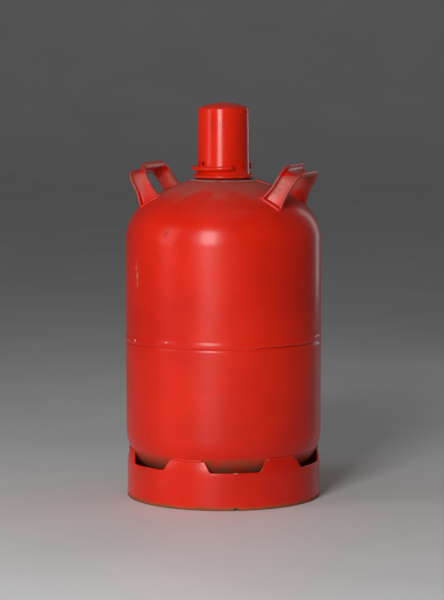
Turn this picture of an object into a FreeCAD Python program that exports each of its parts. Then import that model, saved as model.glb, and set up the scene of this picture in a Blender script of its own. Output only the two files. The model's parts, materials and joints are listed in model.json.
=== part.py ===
import FreeCAD, Part
import math
import os

# Steel gas cylinder with a screw-on valve guard, in millimetres.
# Origin at the middle of the foot ring's underside, +Z up, front on -Y, handles towards -X and +X.
# Angles round the axis run from -Y (the front) towards +X.

V = FreeCAD.Vector
origin = V(0, 0, 0)
up = V(0, 0, 1)

# Shared by several pieces
running_gap = 0.05  # radial, shaft in its bore
free_gap = 0.3  # between pieces that move apart
past = 1.0  # a cutting tool runs this far past the solid
corner_share = 1 - math.sqrt(0.5)  # a corner arc's middle stands this share of its radius inside

# Pressure vessel: a crown arc runs into a knuckle arc at each end
body_r = 150.0  # outside radius of both halves
wall = 3.0  # plate thickness of both halves
lower_tangent_z = 105.0  # where the bottom head starts to curve
upper_tangent_z = 396.0  # where the top head starts to curve
seam_rise = 143.0  # from where the bottom head starts to the middle of the girth weld
seam_z = lower_tangent_z + seam_rise
knuckle_r = 70.0
crown_r = 200.0
crown_drop = math.sqrt((crown_r - knuckle_r) ** 2 - (body_r - knuckle_r) ** 2)
crown_centre_z = upper_tangent_z - crown_drop
dome_top_z = crown_centre_z + crown_r
junction_angle = math.atan2(body_r - knuckle_r, crown_drop)
joggle_height = 9.0  # the lower half's rim goes this far up inside the upper half
weld_half_width = 7.0
weld_proud = 0.9

# Foot ring
foot_set_in = 1.2  # its outside, from the body's
foot_r = body_r - foot_set_in
foot_wall = 3.0
foot_top_z = 74.0
foot_band = 24.0  # height of the pulled-in band
foot_straight_top = foot_top_z - foot_band
foot_pull_in = 4.0
foot_top_r = foot_r - foot_pull_in
foot_bend_in = 0.25  # shares of the pulled-in band's depth and height at the middle of its arc
foot_bend_up = 0.56
foot_lip_width = 9.0  # the bottom edge is folded inwards
foot_lip_height = 9.0
foot_lip_round = 3.0
cutout_count = 6
cutout_angle = 21.2  # middle of the first one
cutout_depth = 17.0
cutout_sill_z = foot_top_z - cutout_depth
cutout_low_half = 38.5  # half widths of the trapezium
cutout_high_half = 51.0
cutout_over = 6.0  # the wider one is this far above the ring
cutout_corner = 2.0
drain_width = 8.0
drain_height = 3.5
tab_weld_r = 2.6
tab_weld_in = 0.6  # the bead's middle, from the top of the tab's outside
tab_weld_up = 1.2

# Neck
boss_r = 22.0
boss_proud = 11.47
boss_top_z = dome_top_z + boss_proud
boss_depth = 24.0
boss_chamfer = 1.5
boss_bore_r = 13.0
boss_bore_chamfer = 1.0
boss_weld_leg = 5.0
fillet_share = 0.35  # how far a hollow fillet's middle stands out of its corner
neck_ring_r = 34.0  # crest of the guard thread
neck_ring_bore_r = 29.0
neck_ring_proud = 2.0  # above the boss
neck_ring_top_z = boss_top_z + neck_ring_proud
neck_ring_root = 3.0  # plain part that is trimmed to the dome
thread_pitch = 2.31
thread_depth = 1.2
thread_root_share = 0.1  # a flank's start and end, as shares of the pitch
thread_crest_share = 0.4
thread_gap = 0.4  # crest to crest, between neck ring and guard

# Carrying handles
handle_set_in = 51.3  # strap centre where a leg meets the shoulder, from the body's side
handle_x = body_r - handle_set_in
handle_lean = 30.0  # degrees outwards from upright
handle_turn = 5.0  # degrees round the axis, the right one towards the front
handle_rise = 48.8  # from the shoulder to the outside of the web, along the lean
handle_foot_half = 57.0  # outside of a leg's web at the shoulder
handle_splay = 9.2  # how much less that is at the bend
handle_top_half = handle_foot_half - handle_splay
handle_bend_r = 17.0
handle_web = 3.0
handle_flange = 8.0
handle_width = 27.0
handle_widening = 7.0
handle_foot_width = handle_width + handle_widening
handle_flare_top = 24.0  # the strap widens below this height
handle_flare_mid = 0.45  # shares of the flare's height and widening at the middle of its arc
handle_flare_out = 0.22
handle_sink = 40.0  # length below the shoulder that the dished end trims away
handle_weld_leg = 4.0
handle_weld_height = 3.0

# Data plate
plate_angle = 108.0
plate_r = 60.0
plate_length = 44.0
plate_width = 24.0
plate_thick = 1.6
plate_corner = 4.0
plate_blank = 60.0  # height of the block that is trimmed to the plate

# Valve guard (the screw-on cap)
cap_reach = 5.0  # from the guard thread's crest to the guard's outside
cap_taper = 0.9
cap_top_r = neck_ring_r + cap_reach
cap_skirt_r = cap_top_r + cap_taper
cap_skirt_z = boss_top_z
cap_height = 101.0  # above the foot of its straight skirt
cap_top_z = cap_skirt_z + cap_height
cap_crown_r = 90.0
cap_corner_r = 4.0
cap_wall = 2.5
cap_bead_r = 2.0
cap_flare = 7.9
cap_flare_height = 13.5
cap_mouth_r = cap_skirt_r + cap_flare  # outside of the rolled edge
cap_mouth_z = cap_skirt_z - cap_flare_height  # underside of the rolled edge
cap_thread_height = 12.0
cap_thread_high_z = neck_ring_top_z
cap_thread_low_z = cap_thread_high_z - cap_thread_height
vent_angle = -37.0
vent_rise = 8.0  # above the straight skirt's foot
vent_z = cap_skirt_z + vent_rise
vent_r = 3.0

# Wire loop on the guard
loop_angle = 33.0  # its ends are here and straight opposite
loop_rise = 2.0
loop_z = cap_skirt_z + loop_rise
loop_wire_r = 3.0
loop_stand_off = 7.3  # wire's middle, from the skirt
loop_r = cap_skirt_r + loop_stand_off
loop_bend_r = 6.0
loop_droop = 2.0  # degrees
loop_weld_r = 5.0
loop_weld_long = 2.6

# Seal lug on the guard
lug_angle = 112.0
lug_rise = 3.5
lug_z = cap_skirt_z + lug_rise
lug_proud = 4.6
lug_height = 9.0
lug_thick = 3.2
lug_notch = 3.0

# Valve
stem_length = 23.0  # inside the boss
stem_low_z = boss_top_z - stem_length
hex_gap = 3.5  # threads that show between the boss and the hexagon
hex_low_z = boss_top_z + hex_gap
hex_height = 12.5
hex_high_z = hex_low_z + hex_height
hex_across = 30.0
barrel_r = 13.0
barrel_height = 35.0
barrel_top_z = hex_high_z + barrel_height
outlet_rise = 15.0  # above the hexagon
outlet_z = hex_high_z + outlet_rise
outlet_r = 14.5
outlet_face = 25.0  # distance of the outlet's face from the axis
outlet_bore_r = 11.2
outlet_bore_floor = 13.0
port_r = 4.0
seat_drop = 8.0  # below the outlet
seat_z = outlet_z - seat_drop
seat_rim = 1.2
seat_proud = 0.5
chamber_r = 9.0
relief_drop = 2.0
relief_z = hex_high_z - relief_drop
relief_r = 10.5
relief_face = 25.0
relief_bore_r = 8.0
relief_bore_floor = 8.0
relief_port_r = 3.0
bonnet_across = 24.0
bonnet_plug = 3.0
bonnet_hex_height = 9.0
bonnet_hex_top_z = barrel_top_z + bonnet_hex_height
bonnet_neck_r = 8.5
bonnet_neck_height = 5.0
bonnet_top_z = bonnet_hex_top_z + bonnet_neck_height
spindle_r = 4.0
o_ring_wire_r = 1.1
o_ring_room = 0.1
o_ring_rise = 5.0
o_ring_z = barrel_top_z + o_ring_rise
spindle_collar_r = 6.5
spindle_collar_height = 2.0
tang_wide = 7.0
tang_thick = 3.0
tang_reach = 1.0  # stays in its slot by this much when the spindle is right down
lower_spindle_r = 8.5
lower_spindle_rise = 17.0  # its top, above the seat
lower_spindle_top_z = seat_z + lower_spindle_rise
spindle_rise = 3.0  # at two turns of the wheel
seat_disc_r = 6.5
seat_disc_thick = 2.5

# Handwheel
wheel_gap = 2.0
wheel_low_z = bonnet_top_z + wheel_gap
wheel_height = 13.0
wheel_r = 27.0
wheel_chamfer = 2.0
wheel_lobes = 8
wheel_scallop_r = 6.5
wheel_scallop_out = 3.5  # a scallop's middle, outside the rim
wheel_hub_r = 8.5
wheel_hub_taper = 1.0
wheel_dish_r = 20.0
wheel_dish_depth = 5.0
wheel_windows = 4
wheel_window_r = 3.6
washer_r = 7.5
washer_thick = 1.2
nut_across = 11.0
nut_height = 5.0
spindle_end = 1.5  # stands out of the nut

# Outlet plug and its gasket
plug_gap = 0.4  # thread crest in the outlet's bore
plug_thread_depth = 0.8
plug_core_r = 3.0
plug_across = 20.0
plug_head = 3.4
plug_depth = 11.0
gasket_r = 13.2
gasket_thick = 1.4

# Relief valve
poppet_r = 6.2
poppet_thick = 2.4
poppet_seal_thick = 1.6
poppet_stem_r = 2.0
relief_plug_thick = 6.0
relief_vent_r = 1.2
relief_vent_at = 5.2
relief_vents = 6
poppet_stem_end = 1.0  # stands out of the plug
spring_r = 4.9
spring_wire_r = 0.55
spring_turns = 3.0
spring_steps = 16  # straight pieces in a turn
spring_sides = 8  # flats round the wire


def polar(radius, angle, z=0.0):
    """Point at a distance from the axis, an angle from the front, and a height."""
    a = math.radians(angle)
    return V(radius * math.sin(a), -radius * math.cos(a), z)


def outline(start, *moves):
    """Face in the XZ plane. A move is (x, z), or two of them for an arc through the first to the second."""
    edges = []
    here = V(start[0], 0, start[1])
    for move in moves:
        if isinstance(move[0], tuple):
            middle = V(move[0][0], 0, move[0][1])
            there = V(move[1][0], 0, move[1][1])
            edges.append(Part.Arc(here, middle, there).toShape())
        else:
            there = V(move[0], 0, move[1])
            edges.append(Part.LineSegment(here, there).toShape())
        here = there
    first = V(start[0], 0, start[1])
    if here.distanceToPoint(first) > 1e-6:
        edges.append(Part.LineSegment(here, first).toShape())
    return Part.Face(Part.Wire(edges))


def turned(face):
    """Solid of revolution round Z."""
    return face.revolve(origin, up, 360)


def tube(outer, inner, low, high):
    """Ring with square edges."""
    return turned(outline((inner, low), (outer, low), (outer, high), (inner, high)))


def rod(radius, low, high):
    """Upright cylinder on the axis."""
    return Part.makeCylinder(radius, high - low, V(0, 0, low))


def side_rod(radius, near, far, z, side):
    """Cylinder along Y from the axis outwards; side is -1 for the front and 1 for the back."""
    return Part.makeCylinder(radius, far - near, V(0, side * near, z), V(0, side, 0))


def hexagon(across, low, high):
    """Upright hexagonal prism on the axis."""
    corner = across / math.sqrt(3)
    points = [polar(corner, 30 + 60 * k, low) for k in range(7)]
    return Part.Face(Part.makePolygon(points)).extrude(V(0, 0, high - low))


def around(shape, angle):
    """Copy turned about the axis by an angle, positive from the front towards +X."""
    copy = shape.copy()
    copy.rotate(origin, up, angle)
    return copy


def joined(shapes):
    """One solid made of several that share volume or faces."""
    return shapes[0].multiFuse(shapes[1:]).removeSplitter() if len(shapes) > 1 else shapes[0]


def save(name, shape):
    """Write one piece, or a group of like pieces, to its own file."""
    shape.exportStep("parts/" + name + ".step")
    print(name, round(shape.Volume), shape.isValid(), len(shape.Solids))


def head_arcs(inset, tangent_z, sense):
    """Knuckle and crown arcs from the wall to the axis; inset is the depth below the outside."""
    knuckle = knuckle_r - inset
    crown = crown_r - inset
    centre_z = tangent_z - sense * crown_drop
    half = (math.pi / 2 - junction_angle) / 2
    middle_angle = math.pi / 2 - half
    arm = body_r - knuckle_r
    knuckle_mid = (arm + knuckle * math.sin(middle_angle),
                   tangent_z + sense * knuckle * math.cos(middle_angle))
    meet = (crown * math.sin(junction_angle), centre_z + sense * crown * math.cos(junction_angle))
    crown_mid = (crown * math.sin(junction_angle / 2),
                 centre_z + sense * crown * math.cos(junction_angle / 2))
    top = (0.0, centre_z + sense * crown)
    return knuckle_mid, meet, crown_mid, top


def vessel_solid(grow=0.0):
    """Everything inside the vessel's outer surface, or that far outside it, to trim welded pieces with."""
    side = body_r + grow
    low_mid, low_meet, low_crown, low_end = head_arcs(-grow, lower_tangent_z, -1)
    top_mid, top_meet, top_crown, top_end = head_arcs(-grow, upper_tangent_z, 1)
    return turned(outline(low_end, (low_crown, low_meet), (low_mid, (side, lower_tangent_z)),
                          (side, upper_tangent_z), (top_mid, top_meet), (top_crown, top_end)))


def dome_z(radius):
    """Height of the top head's crown at a distance from the axis."""
    return crown_centre_z + math.sqrt(crown_r ** 2 - radius ** 2)


def upper_shell():
    out_mid, out_meet, out_crown, out_top = head_arcs(0, upper_tangent_z, 1)
    in_mid, in_meet, in_crown, in_top = head_arcs(wall, upper_tangent_z, 1)
    rim = body_r - wall
    face = outline((body_r, seam_z), (body_r, upper_tangent_z), (out_mid, out_meet), (out_crown, out_top),
                   in_top, (in_crown, in_meet), (in_mid, (rim, upper_tangent_z)), (rim, seam_z))
    return turned(face).cut(rod(boss_r, seam_z, boss_top_z))


def lower_shell():
    out_mid, out_meet, out_crown, out_top = head_arcs(0, lower_tangent_z, -1)
    in_mid, in_meet, in_crown, in_top = head_arcs(wall, lower_tangent_z, -1)
    rim = body_r - wall
    step_low = seam_z - weld_half_width
    step_high = step_low + wall
    top = seam_z + joggle_height
    face = outline((body_r, lower_tangent_z), (body_r, step_low), (rim, step_high), (rim, top),
                   (rim - wall, top), (rim - wall, step_high), (rim, step_low - wall),
                   (rim, lower_tangent_z), (in_mid, in_meet), (in_crown, in_top), out_top,
                   (out_crown, out_meet), (out_mid, (body_r, lower_tangent_z)))
    return turned(face)


def girth_weld():
    """Bead that fills the step between the halves and stands a little proud."""
    low = seam_z - weld_half_width
    high = seam_z + weld_half_width
    rim = body_r - wall
    face = outline((body_r, low), (rim, low + wall), (rim, seam_z), (body_r, seam_z), (body_r, high),
                   ((body_r + weld_proud, seam_z), (body_r, low)))
    return turned(face)


def foot_ring(vessel):
    """Rolled strip with a folded bottom edge; six notches leave tabs that are welded to the bottom head."""
    outer = foot_r
    inner = foot_r - foot_wall
    lip = foot_r - foot_lip_width
    mid = (foot_r - foot_bend_in * (foot_r - foot_top_r),
           foot_straight_top + foot_bend_up * (foot_top_z - foot_straight_top))
    curl = corner_share * foot_lip_round
    face = outline((outer, foot_lip_round), (outer, foot_straight_top), (mid, (foot_top_r, foot_top_z)),
                   (foot_top_r - foot_wall, foot_top_z),
                   ((mid[0] - foot_wall, mid[1]), (inner, foot_straight_top)), (inner, foot_wall),
                   (lip + foot_wall, foot_wall), (lip + foot_wall, foot_lip_height), (lip, foot_lip_height),
                   (lip, foot_lip_round),
                   ((lip + curl, curl), (lip + foot_lip_round, 0)), (outer - foot_lip_round, 0),
                   ((outer - curl, curl), (outer, foot_lip_round)))
    ring = turned(face)
    low = cutout_sill_z
    high = foot_top_z + cutout_over
    slope = (cutout_high_half - cutout_low_half) / (high - low)
    end = cutout_low_half - cutout_corner
    turn = cutout_low_half - corner_share * cutout_corner
    rise = cutout_low_half + slope * cutout_corner
    turn_z = low + corner_share * cutout_corner
    rise_z = low + cutout_corner
    notch = outline((-end, low), (end, low), ((turn, turn_z), (rise, rise_z)), (cutout_high_half, high),
                    (-cutout_high_half, high), (-rise, rise_z), ((-turn, turn_z), (-end, low)))
    tool = notch.extrude(V(0, -2 * foot_r, 0))
    cuts = [around(tool, cutout_angle + k * 360 / cutout_count) for k in range(cutout_count)]
    drain = outline((-drain_width / 2, -past), (drain_width / 2, -past), (drain_width / 2, 0),
                    ((0, drain_height), (-drain_width / 2, 0)))
    cuts.append(around(drain.extrude(V(0, -2 * foot_r, 0)), cutout_angle))
    return ring.cut(cuts).cut(vessel)


def foot_ring_welds(vessel, ring):
    """A bead along the top of each tab."""
    pitch = 360 / cutout_count
    high_angle = math.degrees(math.asin(cutout_high_half / foot_r))
    span = pitch - 2 * high_angle
    centre = V(foot_top_r - tab_weld_in, 0, foot_top_z + tab_weld_up)
    circle = Part.makeCircle(tab_weld_r, centre, V(0, 1, 0))
    bead = Part.Face(Part.Wire(circle)).revolve(origin, up, span)
    # the revolved bead starts on +X, which is 90 degrees from the front
    start = cutout_angle + high_angle - 90
    beads = [around(bead, start + k * pitch).cut([vessel, ring]) for k in range(cutout_count)]
    return Part.makeCompound([bead.Solids[0] for bead in beads])


def thread_outline(crest, root, wall_r, low, high):
    """Ring section between a plain radius and a thread's root, with ridges out to its crest."""
    count = int((high - low) / thread_pitch)
    moves = []
    for k in range(count):
        base = low + (high - low - count * thread_pitch) / 2 + k * thread_pitch
        moves.append((root, base + thread_root_share * thread_pitch))
        moves.append((crest, base + thread_crest_share * thread_pitch))
        moves.append((crest, base + (1 - thread_crest_share) * thread_pitch))
        moves.append((root, base + (1 - thread_root_share) * thread_pitch))
    return outline((wall_r, low), (root, low), *moves, (root, high), (wall_r, high))


def neck_boss():
    face = outline((boss_bore_r, boss_top_z - boss_depth), (boss_r, boss_top_z - boss_depth),
                   (boss_r, boss_top_z - boss_chamfer), (boss_r - boss_chamfer, boss_top_z),
                   (boss_bore_r + boss_bore_chamfer, boss_top_z),
                   (boss_bore_r, boss_top_z - boss_bore_chamfer))
    return turned(face)


def neck_weld(vessel):
    foot = boss_r + boss_weld_leg
    hollow = fillet_share * boss_weld_leg
    face = outline((boss_r, dome_z(boss_r) - past), (foot, dome_z(foot) - past), (foot, dome_z(foot)),
                   ((boss_r + hollow, dome_z(foot) + hollow), (boss_r, dome_z(boss_r) + boss_weld_leg)))
    return turned(face).cut(vessel)


def neck_ring(vessel):
    root = neck_ring_r - thread_depth
    low = dome_z(neck_ring_r)
    threads = thread_outline(neck_ring_r, root, neck_ring_bore_r, low, neck_ring_top_z)
    base = tube(root, neck_ring_bore_r, low - neck_ring_root, low + past)
    return joined([turned(threads), base]).cut(vessel)


def handle_frame(shape, side):
    """Place a shape drawn upright on the X axis onto the shoulder, leaning outwards."""
    copy = shape.copy()
    copy.rotate(origin, V(0, 1, 0), handle_lean)
    copy.translate(V(handle_x, 0, dome_z(math.hypot(handle_x, handle_foot_half))))
    copy.rotate(origin, up, -handle_turn if side > 0 else 180 - handle_turn)
    return copy


def arch(inset, thick_down):
    """Closed outline in the YZ plane of the handle's bow, moved inwards; its legs run below the shoulder."""
    top = handle_rise - inset
    foot = handle_foot_half - inset
    shoulder = handle_top_half - inset
    bend = handle_bend_r - inset
    lean = math.atan2(foot - shoulder, top)
    low_y = foot + thick_down * math.tan(lean)
    # tangent points of the bend between the top and a leg
    turn = math.pi / 2 - lean
    reach = bend * math.tan(turn / 2)
    leg_y = shoulder + reach * math.sin(lean)
    leg_z = top - reach * math.cos(lean)
    flat_y = shoulder - reach
    centre = V(0, flat_y, top - bend)
    half = math.radians(90) - turn / 2
    mid = V(0, centre.y + bend * math.cos(half), centre.z + bend * math.sin(half))
    right = [V(0, low_y, -thick_down), V(0, leg_y, leg_z), mid, V(0, flat_y, top)]
    left = [V(0, -p.y, p.z) for p in right]
    edges = [
        Part.LineSegment(right[0], right[1]).toShape(),
        Part.Arc(right[1], right[2], right[3]).toShape(),
        Part.LineSegment(right[3], left[3]).toShape(),
        Part.Arc(left[3], left[2], left[1]).toShape(),
        Part.LineSegment(left[1], left[0]).toShape(),
        Part.LineSegment(left[0], right[0]).toShape(),
    ]
    return Part.Face(Part.Wire(edges))


def bow(outer_inset, inner_inset, long):
    """Band between two insets of the bow, with the given width along X."""
    outer = arch(outer_inset, handle_sink).extrude(V(long, 0, 0))
    inner = arch(inner_inset, handle_sink + past).extrude(V(long, 0, 0))
    band = outer.cut(inner)
    band.translate(V(-long / 2, 0, 0))
    return band


def strap_width(inset):
    """Prism across the bow that gives the strap its width: even at the grip, wider towards the feet."""
    half = handle_width / 2 - inset
    foot = handle_foot_width / 2 - inset
    top = handle_rise + 2 * handle_flange
    bulge = (half + handle_flare_out * (foot - half), handle_flare_mid * handle_flare_top)
    face = outline((-half, top), (half, top), (half, handle_flare_top), (bulge, (foot, 0)),
                   (foot, -handle_sink), (-foot, -handle_sink), (-foot, 0),
                   ((-bulge[0], bulge[1]), (-half, handle_flare_top)))
    prism = face.extrude(V(0, 4 * handle_foot_half, 0))
    prism.translate(V(0, -2 * handle_foot_half, 0))
    return prism


def handle(vessel, side):
    """Channel bent into a bow: a smooth web round the finger gap and a flange along each edge."""
    wide = 2 * handle_foot_width
    web = bow(0, handle_web, wide).common(strap_width(0))
    rims = bow(-handle_flange, 0, wide).common(strap_width(0)).cut(strap_width(handle_web))
    return handle_frame(joined([web, rims]), side).cut(vessel).Solids[0]


def handle_welds(vessel, strap, side):
    """Fillet beads round both feet."""
    outer = bow(-handle_flange - handle_weld_leg, handle_web + handle_weld_leg, 2 * handle_foot_width)
    pad = handle_frame(outer.common(strap_width(-handle_weld_leg)), side)
    beads = pad.common(vessel_solid(handle_weld_height)).cut([vessel, strap])
    return Part.makeCompound([bead for bead in beads.Solids if bead.Volume > handle_weld_leg ** 3])


def data_plate():
    """Blank plate, dished to the crown and welded down on its edges."""
    centre = V(0, 0, crown_centre_z)
    layer = Part.makeSphere(crown_r + plate_thick, centre).cut(Part.makeSphere(crown_r, centre))
    half_long = plate_length / 2
    half_wide = plate_width / 2
    blank = Part.makeBox(plate_length, plate_width, plate_blank, V(-half_long, -half_wide, 0))
    corners = [edge for edge in blank.Edges if abs(edge.tangentAt(edge.FirstParameter).z) > 0.9]
    blank = blank.makeFillet(plate_corner, corners)
    blank.translate(V(0, -plate_r, dome_z(plate_r) - plate_blank / 2))
    return around(blank, plate_angle).common(layer)


def cap_outline(inset):
    """Section of the guard's skin moved inwards by inset, from the axis to the start of its rolled edge."""
    crown = cap_crown_r - inset
    corner = cap_corner_r - inset
    centre_z = cap_top_z - cap_crown_r
    corner_x = cap_top_r - cap_corner_r
    rise = math.sqrt((cap_crown_r - cap_corner_r) ** 2 - corner_x ** 2)
    angle = math.atan2(corner_x, rise)
    meet = (crown * math.sin(angle), centre_z + crown * math.cos(angle))
    crown_mid = (crown * math.sin(angle / 2), centre_z + crown * math.cos(angle / 2))
    half = (math.pi / 2 + angle) / 2
    corner_mid = (corner_x + corner * math.sin(half), centre_z + rise + corner * math.cos(half))
    wall_top = (cap_top_r - inset, centre_z + rise)
    skirt = (cap_skirt_r - inset, cap_skirt_z)
    # the flare is an arc, tangent to the skirt, that ends at the middle of the rolled edge
    bead_x = cap_mouth_r - cap_bead_r
    bead_z = cap_mouth_z + cap_bead_r
    across = bead_x - (cap_skirt_r - cap_wall / 2)
    down = cap_skirt_z - bead_z
    sweep = 2 * math.atan2(across, down)
    middle_r = down / math.sin(sweep)
    flare_x = cap_skirt_r - cap_wall / 2 + middle_r
    radius = middle_r - cap_wall / 2 + inset
    flare_mid = (flare_x - radius * math.cos(sweep / 2), cap_skirt_z - radius * math.sin(sweep / 2))
    flare_end = (flare_x - radius * math.cos(sweep), cap_skirt_z - radius * math.sin(sweep))
    return (0.0, centre_z + crown), (crown_mid, meet), (corner_mid, wall_top), skirt, (flare_mid, flare_end)


def cap_core(inset):
    """Everything inside a level of the guard's skin."""
    top, crown, corner, skirt, flare = cap_outline(inset)
    return turned(outline(top, crown, corner, skirt, flare, (0.0, flare[1][1])))


def cap_shell():
    top, crown, corner, skirt, flare = cap_outline(0)
    in_top, in_crown, in_corner, in_skirt, in_flare = cap_outline(cap_wall)
    back = [in_flare[1], (in_flare[0], in_skirt), in_corner[1], (in_corner[0], in_crown[1]),
            (in_crown[0], in_top)]
    skin = turned(outline(top, crown, corner, skirt, flare, *back))
    bead = Part.makeTorus(cap_mouth_r - cap_bead_r, cap_bead_r, V(0, 0, cap_mouth_z + cap_bead_r))
    shell = joined([skin, bead])
    vent = Part.makeCylinder(vent_r, 4 * cap_top_r, V(0, 2 * cap_top_r, vent_z), V(0, -1, 0))
    return shell.cut(around(vent, vent_angle))


def cap_thread_ring():
    crest = neck_ring_r + thread_gap
    wide = cap_mouth_r
    threads = thread_outline(crest, crest + thread_depth, wide, cap_thread_low_z, cap_thread_high_z)
    return turned(threads).common(cap_core(cap_wall))


def cap_grip_loop(core):
    """Round wire bent half way round the guard; each end turns in to the skirt."""
    reach = loop_r - loop_bend_r
    swing = math.degrees(math.asin(loop_bend_r / reach))
    line_r = math.sqrt(reach ** 2 - loop_bend_r ** 2)
    root_r = cap_skirt_r - cap_wall / 2
    ends = []
    for angle, sense in ((90.0, -1), (-90.0, 1)):
        centre = polar(reach, angle + sense * swing)
        inner = polar(line_r, angle)
        outer = polar(loop_r, angle + sense * swing)
        chord = (inner + outer) * 0.5 - centre
        mid = centre + chord.normalize() * loop_bend_r
        ends.append((polar(root_r, angle), inner, mid, outer))
    (a_root, a_in, a_mid, a_out), (b_root, b_in, b_mid, b_out) = ends
    edges = [
        Part.LineSegment(a_root, a_in).toShape(),
        Part.Arc(a_in, a_mid, a_out).toShape(),
        Part.Arc(a_out, polar(loop_r, 0), b_out).toShape(),
        Part.Arc(b_out, b_mid, b_in).toShape(),
        Part.LineSegment(b_in, b_root).toShape(),
    ]
    section = Part.Wire(Part.makeCircle(loop_wire_r, a_root, V(1, 0, 0)))
    wire = Part.Wire(edges).makePipeShell([section], True, True)
    wire.rotate(origin, V(1, 0, 0), loop_droop)
    wire.translate(V(0, 0, loop_z))
    return around(wire, loop_angle - 90).cut(core)


def cap_loop_welds(core, loop):
    """A collar of weld where each end of the loop meets the skirt."""
    beads = []
    root_r = cap_skirt_r - cap_wall / 2
    length = cap_wall / 2 + loop_weld_long
    thin_r = loop_wire_r + free_gap
    for angle in (loop_angle, loop_angle + 180):
        cone = Part.makeCone(loop_weld_r, thin_r, length, polar(root_r, angle, loop_z), polar(1, angle))
        beads.append(cone.cut([core, loop]).Solids[0])
    return Part.makeCompound(beads)


def cap_seal_lug(core):
    """Small plate with a V notch, for a wire seal."""
    low = lug_z - lug_height / 2
    high = lug_z + lug_height / 2
    edge = cap_skirt_r + lug_proud
    face = outline((cap_top_r - cap_wall, low), (edge, low), (edge - lug_notch, lug_z), (edge, high),
                   (cap_top_r - cap_wall, high))
    plate = face.extrude(V(0, lug_thick, 0))
    plate.translate(V(0, -lug_thick / 2, 0))
    return around(plate, lug_angle - 90).cut(core)


def valve_body():
    body = [
        rod(boss_bore_r, stem_low_z, hex_low_z),
        hexagon(hex_across, hex_low_z, hex_high_z),
        rod(barrel_r, hex_high_z, barrel_top_z),
        side_rod(outlet_r, 0, outlet_face, outlet_z, -1),
        side_rod(relief_r, 0, relief_face, relief_z, 1),
    ]
    holes = [
        rod(port_r, stem_low_z - past, seat_z + past),
        rod(chamber_r, seat_z, barrel_top_z + past),
        side_rod(port_r, chamber_r - 2 * past, outlet_face, outlet_z, -1),
        side_rod(outlet_bore_r, outlet_bore_floor, outlet_face + past, outlet_z, -1),
        side_rod(relief_port_r, 0, relief_face, relief_z, 1),
        side_rod(relief_bore_r, relief_bore_floor, relief_face + past, relief_z, 1),
    ]
    solid = joined(body).cut(holes)
    seat = tube(port_r + seat_rim, port_r, seat_z - seat_proud, seat_z + seat_proud)
    return joined([solid, seat])


def valve_bonnet():
    low = barrel_top_z - bonnet_plug
    nut = joined([
        rod(chamber_r, low, barrel_top_z),
        hexagon(bonnet_across, barrel_top_z, bonnet_hex_top_z),
        rod(bonnet_neck_r, bonnet_hex_top_z, bonnet_top_z),
    ])
    groove_half = o_ring_wire_r + o_ring_room
    groove = tube(spindle_r + 2 * groove_half, spindle_r, o_ring_z - groove_half, o_ring_z + groove_half)
    return nut.cut([rod(spindle_r + running_gap, low - past, bonnet_top_z + past), groove])


def gland_o_ring():
    return Part.makeTorus(spindle_r + running_gap + o_ring_wire_r, o_ring_wire_r, V(0, 0, o_ring_z))


def upper_spindle():
    collar_top = barrel_top_z - bonnet_plug - free_gap
    collar_low = collar_top - spindle_collar_height
    tang_low = lower_spindle_top_z - spindle_rise - tang_reach
    end = wheel_low_z + wheel_height + washer_thick + nut_height + spindle_end
    tang = Part.makeBox(tang_wide, tang_thick, collar_low - tang_low,
                        V(-tang_wide / 2, -tang_thick / 2, tang_low))
    return joined([rod(spindle_r, collar_low, end), rod(spindle_collar_r, collar_low, collar_top), tang])


def lower_spindle():
    low = seat_z + seat_proud + free_gap + seat_disc_thick
    slot_low = lower_spindle_top_z - 2 * spindle_rise - tang_reach - free_gap
    wide = tang_wide + 2 * free_gap
    thick = tang_thick + 2 * free_gap
    deep = lower_spindle_top_z - slot_low + past
    slot = Part.makeBox(wide, thick, deep, V(-wide / 2, -thick / 2, slot_low))
    return rod(lower_spindle_r, low, lower_spindle_top_z).cut(slot)


def seat_disc():
    low = seat_z + seat_proud + free_gap
    return rod(seat_disc_r, low, low + seat_disc_thick)


def handwheel():
    """Lobed wheel, dished on top, with a round hub and four windows."""
    high = wheel_low_z + wheel_height
    dish_z = high - wheel_dish_depth
    rim = wheel_r - wheel_chamfer
    face = outline((spindle_r, wheel_low_z), (rim, wheel_low_z), (wheel_r, wheel_low_z + wheel_chamfer),
                   (wheel_r, high - wheel_chamfer), (rim, high), (wheel_dish_r, high),
                   (wheel_dish_r - wheel_chamfer, dish_z), (wheel_hub_r + wheel_hub_taper, dish_z),
                   (wheel_hub_r, high), (spindle_r, high))
    wheel = turned(face)
    low = wheel_low_z - past
    long = wheel_height + 2 * past
    window_at = (wheel_dish_r + wheel_hub_r) / 2
    cuts = []
    for k in range(wheel_lobes):
        at = polar(wheel_r + wheel_scallop_out, k * 360 / wheel_lobes, low)
        cuts.append(Part.makeCylinder(wheel_scallop_r, long, at))
    for k in range(wheel_windows):
        at = polar(window_at, k * 360 / wheel_windows, low)
        cuts.append(Part.makeCylinder(wheel_window_r, long, at))
    return wheel.cut(cuts)


def handwheel_washer():
    low = wheel_low_z + wheel_height
    return tube(washer_r, spindle_r, low, low + washer_thick)


def handwheel_nut():
    low = wheel_low_z + wheel_height + washer_thick
    high = low + nut_height
    return hexagon(nut_across, low, high).cut(rod(spindle_r, low - past, high + past))


def outlet_gasket():
    near = outlet_face + free_gap
    ring = side_rod(gasket_r, near, near + gasket_thick, outlet_z, -1)
    return ring.cut(side_rod(outlet_bore_r, near - past, near + gasket_thick + past, outlet_z, -1))


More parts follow.
